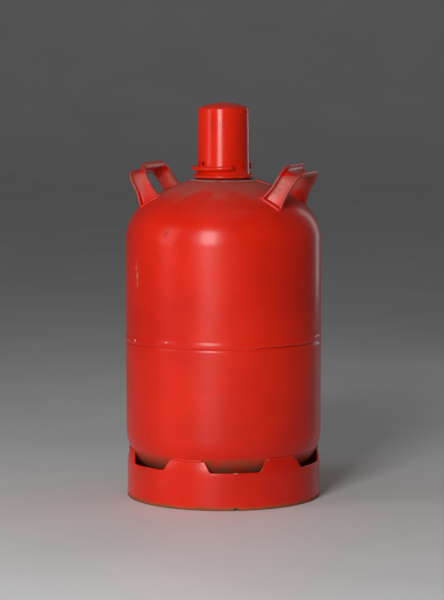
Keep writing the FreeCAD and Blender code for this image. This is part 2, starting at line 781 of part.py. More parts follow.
def outlet_plug():
    """Plug with a hexagon head and ridges for its thread."""
    shoulder = outlet_face + gasket_thick + 2 * free_gap
    thread_r = outlet_bore_r - plug_gap
    tip = outlet_face - plug_depth
    root_r = thread_r - plug_thread_depth
    face = thread_outline(thread_r, root_r, plug_core_r, tip, outlet_face)
    plug = joined([
        turned(face),
        rod(plug_core_r, tip, shoulder),
        rod(root_r, outlet_face - past, shoulder),
        hexagon(plug_across, shoulder, shoulder + plug_head),
    ])
    plug.rotate(origin, V(1, 0, 0), 90)
    plug.translate(V(0, 0, outlet_z))
    return plug


def relief_plug():
    low = relief_face - relief_plug_thick
    plug = side_rod(relief_bore_r, low, relief_face, relief_z, 1)
    holes = [side_rod(poppet_stem_r + running_gap, low - past, relief_face + past, relief_z, 1)]
    for k in range(relief_vents):
        vent = side_rod(relief_vent_r, low - past, relief_face + past, relief_z, 1)
        a = math.radians(k * 360 / relief_vents)
        vent.translate(V(relief_vent_at * math.cos(a), 0, relief_vent_at * math.sin(a)))
        holes.append(vent)
    return plug.cut(holes)


def relief_seal():
    near = relief_bore_floor + free_gap
    return side_rod(poppet_r, near, near + poppet_seal_thick, relief_z, 1)


def relief_poppet():
    near = relief_bore_floor + free_gap + poppet_seal_thick
    disc = side_rod(poppet_r, near, near + poppet_thick, relief_z, 1)
    stem = side_rod(poppet_stem_r, near, relief_face + poppet_stem_end, relief_z, 1)
    return joined([disc, stem])


def relief_spring():
    """Open coil between the poppet and the plug, with flat sides along its wire."""
    room = spring_wire_r + running_gap
    low = relief_bore_floor + free_gap + poppet_seal_thick + poppet_thick + room
    high = relief_face - relief_plug_thick - room
    steps = round(spring_turns * spring_steps)
    sections = []
    for k in range(steps + 1):
        a = 2 * math.pi * k / spring_steps
        outward = V(math.cos(a), 0, math.sin(a))
        centre = outward * spring_r + V(0, low + (high - low) * k / steps, relief_z)
        ring = [centre + (outward * math.cos(b) + V(0, math.sin(b), 0)) * spring_wire_r
                for b in (2 * math.pi * j / spring_sides for j in range(spring_sides))]
        sections.append(Part.makePolygon(ring + [ring[0]]))
    return Part.makeLoft(sections, True, True)


def main():
    os.makedirs("parts", exist_ok=True)
    vessel = vessel_solid()
    save("upper_shell", upper_shell())
    save("lower_shell", lower_shell())
    save("girth_weld", girth_weld())
    ring = foot_ring(vessel)
    save("foot_ring", ring)
    save("foot_ring_welds", foot_ring_welds(vessel, ring))
    save("neck_boss", neck_boss())
    save("neck_weld", neck_weld(vessel))
    save("neck_ring", neck_ring(vessel))
    for name, side in (("handle_left", -1), ("handle_right", 1)):
        strap = handle(vessel, side)
        save(name, strap)
        save(name + "_welds", handle_welds(vessel, strap, side))
    save("data_plate", data_plate())
    core = cap_core(0)
    save("cap_shell", cap_shell())
    save("cap_thread_ring", cap_thread_ring())
    loop = cap_grip_loop(core)
    save("cap_grip_loop", loop)
    save("cap_loop_welds", cap_loop_welds(core, loop))
    save("cap_seal_lug", cap_seal_lug(core))
    save("valve_body", valve_body())
    save("valve_bonnet", valve_bonnet())
    save("gland_o_ring", gland_o_ring())
    save("upper_spindle", upper_spindle())
    save("lower_spindle", lower_spindle())
    save("seat_disc", seat_disc())
    save("handwheel", handwheel())
    save("handwheel_washer", handwheel_washer())
    save("handwheel_nut", handwheel_nut())
    save("outlet_gasket", outlet_gasket())
    save("outlet_plug", outlet_plug())
    save("relief_plug", relief_plug())
    save("relief_seal", relief_seal())
    save("relief_poppet", relief_poppet())
    save("relief_spring", relief_spring())


main()
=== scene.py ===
import bpy
import json
import math
import numpy as np
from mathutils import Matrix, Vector

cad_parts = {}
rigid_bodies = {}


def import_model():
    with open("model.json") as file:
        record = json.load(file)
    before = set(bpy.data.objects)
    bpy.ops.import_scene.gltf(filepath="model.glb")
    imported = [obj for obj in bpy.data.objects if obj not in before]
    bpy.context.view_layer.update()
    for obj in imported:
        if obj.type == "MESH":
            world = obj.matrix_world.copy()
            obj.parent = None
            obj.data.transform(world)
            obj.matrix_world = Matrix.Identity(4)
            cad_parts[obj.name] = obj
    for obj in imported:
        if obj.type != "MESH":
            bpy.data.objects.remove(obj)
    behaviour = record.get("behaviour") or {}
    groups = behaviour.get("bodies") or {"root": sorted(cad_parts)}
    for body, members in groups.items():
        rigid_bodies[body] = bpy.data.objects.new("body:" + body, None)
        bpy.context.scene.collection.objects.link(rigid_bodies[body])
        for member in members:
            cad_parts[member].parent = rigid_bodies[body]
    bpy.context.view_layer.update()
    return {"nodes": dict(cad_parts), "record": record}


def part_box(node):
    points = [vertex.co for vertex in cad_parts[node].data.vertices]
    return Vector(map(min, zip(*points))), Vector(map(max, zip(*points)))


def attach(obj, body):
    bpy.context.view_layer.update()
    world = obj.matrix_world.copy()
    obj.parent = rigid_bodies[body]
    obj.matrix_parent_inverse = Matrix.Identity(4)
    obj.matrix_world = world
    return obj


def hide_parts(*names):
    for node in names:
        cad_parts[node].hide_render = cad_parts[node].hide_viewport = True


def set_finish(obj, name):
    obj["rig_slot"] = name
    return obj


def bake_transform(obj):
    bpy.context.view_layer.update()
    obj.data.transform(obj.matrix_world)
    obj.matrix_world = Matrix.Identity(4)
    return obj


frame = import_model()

nodes = frame["nodes"]
tau = 2 * math.pi
rng = np.random.default_rng(11)


# tools for surfaces

def facingOut(points, faces):
    # a closed shape's faces, turned round if its volume comes out negative:
    # that is a sixth of the sum of a . (b x c) over its triangles
    tris = np.array([(f[0], f[k], f[k + 1]) for f in faces for k in range(1, len(f) - 1)])
    a, b, c = points[tris[:, 0]], points[tris[:, 1]], points[tris[:, 2]]
    if np.einsum("ij,ij->i", a, np.cross(b, c)).sum() < 0:
        faces = [f[::-1] for f in faces]
    return faces


def newPiece(name, shape, body, slot, node, edge=None):
    # shape is points in metres and faces; body is a name, or else two names and two points, which are not
    # used:
    # such a piece is left where it stands, unattached; edge says how worn the paint is at each point
    points, faces = shape
    mesh = bpy.data.meshes.new(name)
    mesh.from_pydata(points, [], facingOut(points, faces))
    mesh.polygons.foreach_set("use_smooth", np.ones(len(mesh.polygons), bool))
    if edge is not None:
        mesh.attributes.new("edge", "FLOAT", "POINT").data.foreach_set("value", edge.astype(np.float32))
    piece = bpy.data.objects.new(name, mesh)
    bpy.context.scene.collection.objects.link(piece)
    if isinstance(body, str):
        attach(piece, body)
    else:
        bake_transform(piece)
    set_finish(piece, slot)
    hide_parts(node)


def joined(shapes):
    # several closed shapes as one
    points, faces, start = [], [], 0
    for shapePoints, shapeFaces in shapes:
        faces += [tuple(v + start for v in f) for f in facingOut(shapePoints, shapeFaces)]
        points.append(shapePoints)
        start += len(shapePoints)
    return np.concatenate(points), faces


def gridFaces(rows, cols, wrapRows, wrapCols):
    # quads between neighbours of a rows by cols grid, numbered row by row
    i = np.arange(rows if wrapRows else rows - 1)[:, None]
    j = np.arange(cols if wrapCols else cols - 1)[None, :]
    nextI, nextJ = (i + 1) % rows, (j + 1) % cols
    quads = np.stack([i * cols + j, nextI * cols + j, nextI * cols + nextJ, i * cols + nextJ], -1)
    return quads.reshape(-1, 4).tolist()


def wrapped(grid):
    # a grid of points closed both ways, as a ring's surface is
    return grid.reshape(-1, 3), gridFaces(*grid.shape[:2], True, True)


def capped(rings):
    # a tube of closed rings, (rows, cols, 3), with a fan at each end
    rows, cols = rings.shape[:2]
    faces = gridFaces(rows, cols, False, True)
    points = np.concatenate([rings.reshape(-1, 3), rings[:1].mean(1), rings[-1:].mean(1)])
    last = rows * cols
    faces += [(last, (j + 1) % cols, j) for j in range(cols)]
    base = (rows - 1) * cols
    faces += [(last + 1, base + j, base + (j + 1) % cols) for j in range(cols)]
    return points, faces


def rounded(corners, steps):
    # closed outline from (x, z, radius) corners; each corner becomes an arc tangent to its two sides
    out = []
    count = len(corners)
    for k in range(count):
        here = np.array(corners[k][:2], float)
        back = np.array(corners[k - 1][:2], float) - here
        ahead = np.array(corners[(k + 1) % count][:2], float) - here
        back, ahead = back / np.linalg.norm(back), ahead / np.linalg.norm(ahead)
        half = math.acos(np.clip(back @ ahead, -1, 1)) / 2
        reach = corners[k][2] / math.tan(half)
        middle = here + (back + ahead) / np.linalg.norm(back + ahead) * corners[k][2] / math.sin(half)
        first, last = here + back * reach - middle, here + ahead * reach - middle
        # the arc swings from first to last: each weighs the sine of the angle to the other
        swept = math.pi - 2 * half
        turn = np.linspace(0, swept, steps)[:, None]
        out.append(middle + (np.sin(swept - turn) * first + np.sin(turn) * last) / math.sin(swept))
    return np.concatenate(out)


def waves(angle, lows, highs, size):
    # smooth closed wandering: a few sines of random phase added up
    orders = rng.integers(lows, highs, 9)
    phases = rng.uniform(0, tau, 9)
    return size * np.sin(angle[..., None] * orders + phases).sum(-1) / 3.0


def turnRound(angle, radius, height):
    # points at an angle from the front (-Y) towards +X
    return np.stack([radius * np.sin(angle), -radius * np.cos(angle), height], -1)


def smooth(value, low, high):
    # 0 below low, 1 above high, an S curve between
    t = np.clip((value - low) / (high - low), 0, 1)
    return t * t * (3 - 2 * t)


def unit(vectors):
    return vectors / np.linalg.norm(vectors, axis=-1, keepdims=True)


def roundTube(path, radius, sides, helper):
    # circle carried along a path; it is squared to the path with a helper direction that is never along it
    ahead = unit(np.gradient(path, axis=0))
    first = unit(np.cross(ahead, helper))
    second = np.cross(ahead, first)
    spin = np.linspace(0, tau, sides, endpoint=False)[None, :, None]
    return path[:, None] + radius * (np.cos(spin) * first[:, None] + np.sin(spin) * second[:, None])


# the vessel

vessel = {
    "radius": round(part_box("upper_shell")[1].x, 4), "wall": 0.003, "knuckle": 0.070, "crown": 0.200,
    "lowTangent": 0.105, "highTangent": 0.396, "seam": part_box("upper_shell")[0].z,
    "rim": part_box("lower_shell")[1].z, "rimStep": 0.007, "neckHole": 0.022, "poleHole": 0.0004,
    "columns": 300,
    # angle from the front in degrees, height, half width, half height, depth
    "dents": [(-22, 0.405, 0.010, 0.006, 0.0004), (9, 0.336, 0.012, 0.016, 0.0003),
              (8, 0.176, 0.020, 0.006, 0.0005), (70, 0.30, 0.02, 0.02, 0.0006),
              (150, 0.36, 0.03, 0.02, 0.0007), (-120, 0.20, 0.02, 0.03, 0.0006),
              (200, 0.15, 0.02, 0.02, 0.0005)],
}
arm = vessel["radius"] - vessel["knuckle"]
crownDrop = math.sqrt((vessel["crown"] - vessel["knuckle"]) ** 2 - arm ** 2)
crownCentre = vessel["highTangent"] - crownDrop
junction = math.atan2(arm, crownDrop)


def headCurve(inset, endRadius, steps):
    # knuckle arc then crown arc, from the wall towards the axis; heights are above the tangent line
    turn = np.linspace(0, math.pi / 2 - junction, steps)
    knuckle, crown = vessel["knuckle"] - inset, vessel["crown"] - inset
    first = np.stack([arm + knuckle * np.cos(turn), knuckle * np.sin(turn)], -1)
    rest = np.linspace(junction, math.asin(endRadius / crown), steps)[1:]
    second = np.stack([crown * np.sin(rest), crown * np.cos(rest) - crownDrop], -1)
    return np.concatenate([first, second])


def domeHeight(radius):
    # height of the top head's skin at a distance from the axis
    crown, knuckle = vessel["crown"], vessel["knuckle"]
    onCrown = crownCentre + np.sqrt(np.maximum(crown ** 2 - radius ** 2, 0))
    onKnuckle = vessel["highTangent"] + np.sqrt(np.maximum(knuckle ** 2 - (radius - arm) ** 2, 0))
    return np.where(radius < crown * math.sin(junction), onCrown, onKnuckle)


def dented(points):
    # push points straight in towards the axis, by a bell for each dent
    angle = np.arctan2(points[..., 0], -points[..., 1])
    depth = np.zeros(angle.shape)
    for degrees, height, wide, tall, deep in vessel["dents"]:
        off = (angle - math.radians(degrees) + math.pi) % tau - math.pi
        across, up = off * vessel["radius"] / wide, (points[..., 2] - height) / tall
        depth += deep * np.exp(-across ** 2 - up ** 2)
    scale = 1 - depth / np.maximum(np.hypot(points[..., 0], points[..., 1]), 0.02)
    return points * np.stack([scale, scale, np.ones_like(scale)], -1)


def turned(profile):
    # a profile of radius and height turned round the axis, one row for each angle, with the dents pressed in
    angle = np.linspace(0, tau, vessel["columns"], endpoint=False)[:, None]
    height = np.broadcast_to(profile[:, 1], (len(angle), len(profile)))
    return dented(turnRound(angle, profile[:, 0], height))


def upperHalf():
    # the outside profile and the inside one, joined at the neck hole and at the seam
    wall, seam, top, radius = vessel["wall"], vessel["seam"], vessel["highTangent"], vessel["radius"]
    side = np.stack([np.full(44, radius), np.linspace(seam, top, 44)], -1)[:-1]
    outer = headCurve(0, vessel["neckHole"], 34) + [0, top]
    inner = headCurve(wall, vessel["neckHole"], 12)[::-1] + [0, top]
    grid = turned(np.concatenate([side, outer, inner, [[radius - wall, seam]]]))
    newPiece("bodyUpper", wrapped(grid), "tank", "body_paint", "upper_shell")


def lowerHalf():
    # like the upper half, but its rim is set in by a wall under the seam and its head is closed on the axis
    wall, low, rim, radius = vessel["wall"], vessel["lowTangent"], vessel["rim"], vessel["radius"]
    step = vessel["seam"] - vessel["rimStep"]
    side = np.stack([np.full(42, radius), np.linspace(low, step, 42)], -1)[1:]
    rimShape = [[radius - wall, step + wall], [radius - wall, rim], [radius - 2 * wall, rim],
                [radius - 2 * wall, step + wall], [radius - wall, step - wall]]
    outer = headCurve(0, vessel["poleHole"], 32)[::-1] * [1, -1] + [0, low]
    inner = headCurve(wall, vessel["poleHole"], 12) * [1, -1] + [0, low]
    grid = turned(np.concatenate([outer, side, rimShape, inner]))
    newPiece("bodyLower", capped(grid.swapaxes(0, 1)), "tank", "body_paint", "lower_shell")


girth = {
    "low": 0.2412, "high": 0.2562, "lowWander": 0.00022, "highWander": 0.0003, "proud": 0.00062,
    "sunk": 0.0002, "deep": 0.0025, "ripple": 0.00007, "ripplePitch": 0.0041, "crease": 0.0004,
    "stopAt": 37.0, "runUp": 0.0030, "columns": 720, "rows": 22,
}


def girthBead():
    # a low hump between two edges; the lower edge wanders and dips under the skin so that a crease shows
    angle = np.linspace(0, tau, girth["columns"], endpoint=False)
    lowEdge = girth["low"] + waves(angle, 3, 40, girth["lowWander"])
    # past one point the lower crease runs up and dies out, and comes back a radian further round
    stop = (angle - math.radians(girth["stopAt"]) + math.pi) % tau - math.pi
    gone = smooth(stop, -0.16, 0.02) * (1 - smooth(stop, 0.9, 1.1))
    lowEdge += girth["runUp"] * gone
    highEdge = girth["high"] + waves(angle, 2, 12, girth["highWander"])
    t = np.linspace(0, 1, girth["rows"])[None, :]
    hump = smooth(t, 0.0, 0.28) * (1 - smooth(t, 0.42, 0.97))
    ripple = np.sin(tau * angle * vessel["radius"] / girth["ripplePitch"])[:, None] * np.sin(math.pi * t)
    rise = (girth["proud"] + girth["sunk"]) * hump - girth["sunk"] + girth["ripple"] * ripple
    rise -= girth["crease"] * (1 - smooth(t, 0.0, 0.10)) * (1 - gone[:, None])
    height = lowEdge[:, None] * (1 - t) + highEdge[:, None] * t
    front = turnRound(angle[:, None], vessel["radius"] + rise, height)
    back = turnRound(angle[:, None], np.full((len(angle), 2), vessel["radius"] - girth["deep"]),
                     np.stack([highEdge - 0.002, lowEdge + 0.004], -1))
    newPiece("girthBead", wrapped(np.concatenate([front, back], 1)), "tank", "body_paint", "girth_weld")


# the foot ring

foot = {
    "radius": 0.1488, "wall": 0.003, "straight": 0.050, "top": 0.074, "pullIn": 0.0040, "sill": 0.057,
    "notchAt": 21.2, "lowHalf": 14.99, "highHalf": 18.75, "soft": 0.30, "lip": 0.009, "round": 0.003,
    "drainHalf": 0.0034, "drainRise": 0.0030, "cap": 0.0011, "bevel": 0.001, "uneven": 0.00012,
    "wander": 0.00016, "inset": 0.0003,
}


def footTop(angle):
    # height of the ring's upper edge: a sill at each notch, sloping ends, and tabs between
    off = np.degrees((angle - math.radians(foot["notchAt"]) + math.pi / 6) % (math.pi / 3) - math.pi / 6)
    ramp = (np.abs(off) - foot["lowHalf"]) / (foot["highHalf"] - foot["lowHalf"])
    soft = foot["soft"] / 4
    ramp = soft * (np.logaddexp(0, ramp / soft) - np.logaddexp(0, (ramp - 1) / soft))
    return foot["sill"] + (foot["top"] - foot["sill"]) * ramp


def footAngles():
    # columns close together on the notches' sloping ends and at the drain, and further apart between them
    marks, counts = (-30, -19.6, -14.2, 14.2, 19.6, 30), (12, 26, 44, 26, 12)
    pitch = np.concatenate([np.linspace(a, b, n, False) for a, b, n in zip(marks, marks[1:], counts)])
    angle = np.radians((foot["notchAt"] + pitch[None, :] + 60 * np.arange(6)[:, None]).ravel())
    drain = np.radians(foot["notchAt"]) + np.linspace(-0.035, 0.035, 29)
    angle = np.unique(np.concatenate([angle, drain, drain + tau]) % tau)
    return angle[np.concatenate([[True], np.diff(angle) > 1e-4])]


def pulledIn(height):
    # how far the tabs lean in at a height
    tab = foot["top"] - foot["straight"]
    return foot["pullIn"] * np.maximum((height - foot["straight"]) / tab, 0) ** 1.9


def lipOutline():
    # the foot's folded edge: in along its floor, up and over the fold's end, and round the two lower corners
    wall, lip, edge, bevel = foot["wall"], foot["lip"], foot["round"], foot["bevel"]
    inner = foot["radius"] - lip
    fold = [(inner + wall, wall), (inner + wall, lip), (inner + wall - bevel, lip + 0.6 * bevel),
            (inner + bevel, lip + 0.6 * bevel), (inner, lip)]
    # the second corner ends where the outside starts, so its last point is left out
    for middle, start, count in ((inner + edge, math.pi, 6), (foot["radius"] - edge, 1.5 * math.pi, 5)):
        curl = start + np.linspace(0, math.pi / 2, 6)[:count]
        fold += [(middle + edge * math.cos(c), edge + edge * math.sin(c)) for c in curl]
    return np.array(fold)


def drainLift(angle):
    # how far the underside stands off the floor: the drain under one sill, and a little unevenness
    off = (angle - math.radians(foot["notchAt"]) + math.pi) % tau - math.pi
    drain = 1 - smooth(np.abs(off * foot["radius"]), foot["drainHalf"] * 0.6, foot["drainHalf"])
    return foot["drainRise"] * drain + foot["uneven"] * (1 + np.sin(angle * 23 + 1) * np.sin(angle * 7))


def footRing():
    # the wall's outline for each angle: up the outside to the edge's height, over it, down inside
    # and round the lip
    angle = footAngles()
    top = footTop(angle)[:, None]
    wall, edge, cap, radius = foot["wall"], foot["round"], foot["cap"], foot["radius"]
    turn = np.linspace(0, math.pi, 9)[None, :]
    outZ = edge + (top - cap - edge) * np.linspace(0, 1, 26)[None, :] ** 0.8
    overZ = top - cap + cap * np.sin(turn)
    insideZ = top - cap + (wall - top + cap) * np.linspace(0, 1, 12)[None, :]
    out = np.stack([radius - pulledIn(outZ), outZ], -1)
    over = np.stack([radius - pulledIn(overZ) - wall / 2 + wall / 2 * np.cos(turn), overZ], -1)
    inside = np.stack([radius - pulledIn(insideZ) - wall, insideZ], -1)
    lip = lipOutline()
    lip = np.broadcast_to(lip, (len(angle), *lip.shape))
    section = np.concatenate([out, over[:, 1:], inside[:, 1:], lip], 1)
    height = section[..., 1] + drainLift(angle)[:, None] * np.clip(1 - section[..., 1] / foot["lip"], 0, 1)
    wobble = waves(angle, 2, 9, foot["wander"])[:, None] - foot["inset"]
    grid = turnRound(angle[:, None], section[..., 0] + wobble * smooth(height, 0.002, 0.02), height)
    nearTop = np.clip(1 - (top - height) / 0.0022, 0, 1)
    nearFoot = np.clip(1 - height / 0.006, 0, 1)
    worn = np.maximum(1.45 * nearTop, nearFoot)
    newPiece("footRing", wrapped(grid), "tank", "body_paint", "foot_ring", worn.ravel())


def beadRun(path, bead):
    # weld bead: a tube whose radius swells and pinches along its length, tapering at both ends
    along = np.concatenate([[0], np.cumsum(np.linalg.norm(np.diff(path, axis=0), axis=1))])
    saw = (along / bead["pitch"] + 0.15 * np.sin(along / bead["pitch"] * 1.7)) % 1.0
    swell = 1 + bead["depth"] * (np.sqrt(saw) - 0.6)
    ends = np.sqrt(np.clip(np.minimum(along, along[-1] - along) / (bead["radius"] * 0.9), 0.02, 1))
    outAndUp = unit(path * [1, 1, 0]) + [0, 0, 0.35]
    return roundTube(path, (bead["radius"] * swell * ends)[:, None, None], bead["sides"], outAndUp)


tabBead = {
    "radius": 0.0024, "pitch": 0.0022, "depth": 0.16, "sides": 14, "halfSpan": 0.178, "wander": 0.0002,
    "inset": 0.0012, "rise": 0.0006,
}


def tabBeads():
    # one bead along the top of each of the six tabs
    beads = []
    for k in range(6):
        middle = math.radians(foot["notchAt"] + 30 + 60 * k)
        angle = middle + np.linspace(-tabBead["halfSpan"], tabBead["halfSpan"], 90)
        drift = waves(angle, 5, 30, tabBead["wander"])
        radius = foot["radius"] - foot["pullIn"] - tabBead["inset"] + drift
        path = turnRound(angle, radius, foot["top"] + tabBead["rise"] + drift)
        beads.append(capped(beadRun(path, tabBead)))
    newPiece("tabBeads", joined(beads), "tank", "body_paint", "foot_ring_welds")


# the carrying handles

strap = {
    "x": 0.0987, "lean": 30.0, "turn": 5.0, "rise": 0.0488, "footHalf": 0.057, "topHalf": 0.0478,
    "bend": 0.017, "web": 0.003, "flange": 0.008, "width": 0.027, "footWidth": 0.034, "flareTop": 0.024,
    "foldRadius": 0.0062, "tipRadius": 0.0014, "sink": 0.0012, "wornBand": 0.0022,
}
footBead = {"radius": 0.0029, "pitch": 0.0026, "depth": 0.14, "sides": 16, "gap": 0.0004, "sunk": 0.0002}


def strapPlaced(points, side):
    # local x is across the strap, y along the grip and z up the lean;
    # the whole leans outwards, stands on the shoulder and is turned a little round the axis
    lean = math.radians(strap["lean"])
    x = points[..., 0] * math.cos(lean) + points[..., 2] * math.sin(lean) + strap["x"]
    z = points[..., 2] * math.cos(lean) - points[..., 0] * math.sin(lean)
    z = z + domeHeight(math.hypot(strap["x"], strap["footHalf"]))
    x, y = side * x, side * points[..., 1]
    cosine, sine = math.cos(math.radians(strap["turn"])), math.sin(math.radians(strap["turn"]))
    return np.stack([x * cosine + y * sine, y * cosine - x * sine, z], -1)


def strapPath():
    # half of the bow's web line, from the middle of the grip round the bend: points, outward normals
    # and the direction that the leg takes from there
    lean = math.atan2(strap["footHalf"] - strap["topHalf"], strap["rise"])
    reach = strap["bend"] * math.tan((math.pi / 2 - lean) / 2)
    flat = strap["topHalf"] - reach
    turn = np.linspace(math.pi / 2, lean, 20)
    grip = np.stack([np.linspace(0, flat, 14), np.full(14, strap["rise"])], -1)[:-1]
    gripOut = np.broadcast_to([0.0, 1.0], grip.shape)
    arcOut = np.stack([np.cos(turn), np.sin(turn)], -1)
    arc = np.array([flat, strap["rise"] - strap["bend"]]) + strap["bend"] * arcOut
    legDown = np.array([math.sin(lean), -math.cos(lean)])
    return np.concatenate([grip, arc]), np.concatenate([gripOut, arcOut]), legDown


def strapSection():
    # channel outline: a web with a flange standing outwards along each edge; columns are across and outward
    half, wall = strap["width"] / 2, strap["web"]
    tip, fold, inner = strap["tipRadius"], strap["foldRadius"], strap["foldRadius"] - strap["web"] + 0.0006
    high = strap["flange"]
    return rounded([(-half, high, tip), (-half, -wall, fold), (half, -wall, fold), (half, high, tip),
                    (half - wall, high, tip), (half - wall, 0, inner), (-half + wall, 0, inner),
                    (-half + wall, high, tip)], 6)


def widened(across, height):
    # the strap keeps its width at the grip and spreads towards the feet
    spread = (1 - smooth(height, -0.004, strap["flareTop"])) ** 1.3
    return across + np.sign(across) * (strap["footWidth"] - strap["width"]) / 2 * spread


def toShoulder(starts, down, side):
    # distance along a leg at which each point reaches the shoulder, by halving
    near, far = np.zeros(len(starts)), np.full(len(starts), 0.09)
    for _ in range(30):
        middle = (near + far) / 2
        probe = strapPlaced(starts + middle[:, None] * down, side)
        above = probe[:, 2] > domeHeight(np.hypot(probe[:, 0], probe[:, 1])) - strap["sink"]
        near, far = np.where(above, middle, near), np.where(above, far, middle)
    return near


def footOutline(end, outward, sign, legDown, side):
    # rounded box round a leg's foot, its points evenly spaced and dropped onto the shoulder,
    # run a little past its start
    gap = footBead["gap"]
    half, wall, high = strap["footWidth"] / 2 + gap, strap["web"] + gap, strap["flange"] + gap
    corners = [(-half, high, 0.003), (-half, -wall, 0.004), (half, -wall, 0.004), (half, high, 0.003)]
    box = rounded(corners, 10)
    box = np.concatenate([box, box[:1]])
    reach = np.concatenate([[0], np.cumsum(np.linalg.norm(np.diff(box, axis=0), axis=1))])
    even = np.linspace(0, reach[-1], 150)[:-1]
    across, out = np.interp(even, reach, box[:, 0]), np.interp(even, reach, box[:, 1])
    starts = np.stack([across, sign * (end[0] + outward[0] * out), end[1] + outward[1] * out], -1)
    line = strapPlaced(starts + toShoulder(starts, legDown, side)[:, None] * legDown, side)
    line[:, 2] += strap["sink"] - footBead["sunk"]
    return np.concatenate([line, line[:3]])


def handle(name, side):
    # the channel carried along the bow; each leg is drawn out until its outline meets the shoulder
    path, outward, down = strapPath()
    section = strapSection()
    across, out = section[:, 0], section[:, 1]
    steps = np.linspace(0, 1, 30)[1:, None, None]
    halves, beads = [], []
    for sign in (1, -1):
        y = sign * (path[:, None, 0] + outward[:, None, 0] * out)
        z = path[:, None, 1] + outward[:, None, 1] * out
        bow = np.stack([widened(across, z), y, z], -1)
        legDown = np.array([0, sign * down[0], down[1]])
        leg = bow[-1] + steps * toShoulder(bow[-1], legDown, side)[None, :, None] * legDown
        leg[..., 0] = widened(across, leg[..., 2])
        halves.append(np.concatenate([bow, leg]))
        line = footOutline(path[-1], outward[-1], sign, legDown, side)
        beads.append(capped(beadRun(line, footBead)))
    rings = strapPlaced(np.concatenate([halves[1][::-1], halves[0][1:]]), side)
    nearTip = np.clip((out - strap["flange"] + strap["wornBand"]) / strap["wornBand"], 0, 1)
    worn = np.concatenate([np.tile(nearTip, len(rings)), [0, 0]])
    node = "handle_left" if side < 0 else "handle_right"
    newPiece(name, capped(rings), "tank", "body_paint", node, worn)
    newPiece(name + "Beads", joined(beads), "tank", "body_paint", node + "_welds")


# the guard's wire loop

loop = {
    "angle": 33.0, "height": 0.507, "wire": 0.003, "radius": 0.0472, "bend": 0.006, "droop": 2.0,
    "skirt": 0.0387, "sides": 20, "waver": 0.00025, "collarLong": 0.0032, "collarProud": 0.0021,
    "gap": 0.0001,
}


def loopPlaced(points):
    # tip the loop about the line through its ends, lift it and turn it to its place on the guard
    droop, turn = math.radians(loop["droop"]), math.radians(loop["angle"] - 90)
    x, y, z = points[..., 0], points[..., 1], points[..., 2]
    y, z = y * math.cos(droop) - z * math.sin(droop), y * math.sin(droop) + z * math.cos(droop)
    x, y = x * math.cos(turn) - y * math.sin(turn), x * math.sin(turn) + y * math.cos(turn)
    return np.stack([x, y, z + loop["height"]], -1)


def gripLoop():
    # round wire: out of the skirt, round a tight bend and a quarter round the guard, and the same mirrored
    quarter = math.pi / 2
    reach = loop["radius"] - loop["bend"]
    swing = math.asin(loop["bend"] / reach)
    lineEnd = math.sqrt(reach ** 2 - loop["bend"] ** 2)
    straight = turnRound(np.full(4, quarter), np.linspace(loop["skirt"], lineEnd, 5)[:-1], np.zeros(4))
    # the bend's middle sits a bend radius to the front of the straight end
    middle = turnRound(quarter - swing, reach, 0.0)
    turn = np.linspace(0, quarter + swing, 12)[:-1]
    bend = middle + loop["bend"] * np.stack([np.sin(turn), np.cos(turn), 0 * turn], -1)
    around = np.linspace(quarter - swing, 0, 60)
    waver = loop["waver"] * np.sin(around * 5 + 0.6) * np.sin(around / (quarter - swing) * math.pi)
    half = np.concatenate([straight, bend, turnRound(around, loop["radius"] + waver, 1.6 * waver)])
    path = np.concatenate([half, half[:-1][::-1] * [-1, 1, 1]])
    rings = roundTube(path, loop["wire"], loop["sides"], [0, 0, 1])
    newPiece("gripLoop", capped(loopPlaced(rings)), "guard", "guard_paint", "cap_grip_loop")


def loopCollars():
    # a flared, lumpy collar of weld where each end of the wire meets the skirt
    along = np.linspace(0, 1, 14)[:, None]
    spin = np.linspace(0, tau, 48, endpoint=False)[None, :]
    lump = 1 + 0.05 * np.sin(7 * spin) * (1 - along) + 0.03 * np.sin(13 * spin + 2 * along)
    size = (loop["wire"] + loop["gap"] + loop["collarProud"] * (1 - along) ** 1.7) * lump
    out = np.broadcast_to(loop["skirt"] + 2 * loop["gap"] + loop["collarLong"] * along, size.shape)
    collars = [np.stack([sign * out, size * np.cos(spin), size * np.sin(spin)], -1) for sign in (1, -1)]
    shape = joined([capped(loopPlaced(collar)) for collar in collars])
    newPiece("loopCollars", shape, "guard", "guard_paint", "cap_loop_welds")


# the neck, seen when the guard is off

neck = {
    "ring": 0.034, "bore": 0.029, "top": 0.507, "pitch": 0.00231, "depth": 0.0011, "bevel": 0.0008,
    "weldLeg": 0.005, "weldRipple": 0.00018, "sunk": 0.0004,
}


def neckThread():
    # a screw thread: the ridge comes round once a pitch of height and climbs one pitch a turn
    angle = np.linspace(0, tau, 180, endpoint=False)[:, None]
    low, top, bevel = float(domeHeight(neck["ring"])) - 0.002, neck["top"], neck["bevel"]
    height = np.linspace(low, top - bevel, 110)[None, :]
    phase = (height / neck["pitch"] - angle / tau) % 1.0
    ridge = smooth(phase, 0.06, 0.38) * (1 - smooth(phase, 0.62, 0.94))
    fade = smooth(height, low + 0.002, low + 0.004) * (1 - smooth(height, top - 0.002, top - 0.0009))
    radius = neck["ring"] - neck["depth"] * (1 - ridge * fade)
    outside = turnRound(angle, radius, np.broadcast_to(height, radius.shape))
    rim = np.array([[neck["ring"] - neck["depth"] - 0.0009, top], [neck["bore"] + bevel, top],
                    [neck["bore"], top - bevel], [neck["bore"], low]])
    inside = turnRound(angle, rim[:, 0], np.broadcast_to(rim[:, 1], (len(angle), len(rim))))
    shape = wrapped(np.concatenate([outside, inside], 1))
    newPiece("neckThread", shape, "tank", "thread_steel", "neck_ring")


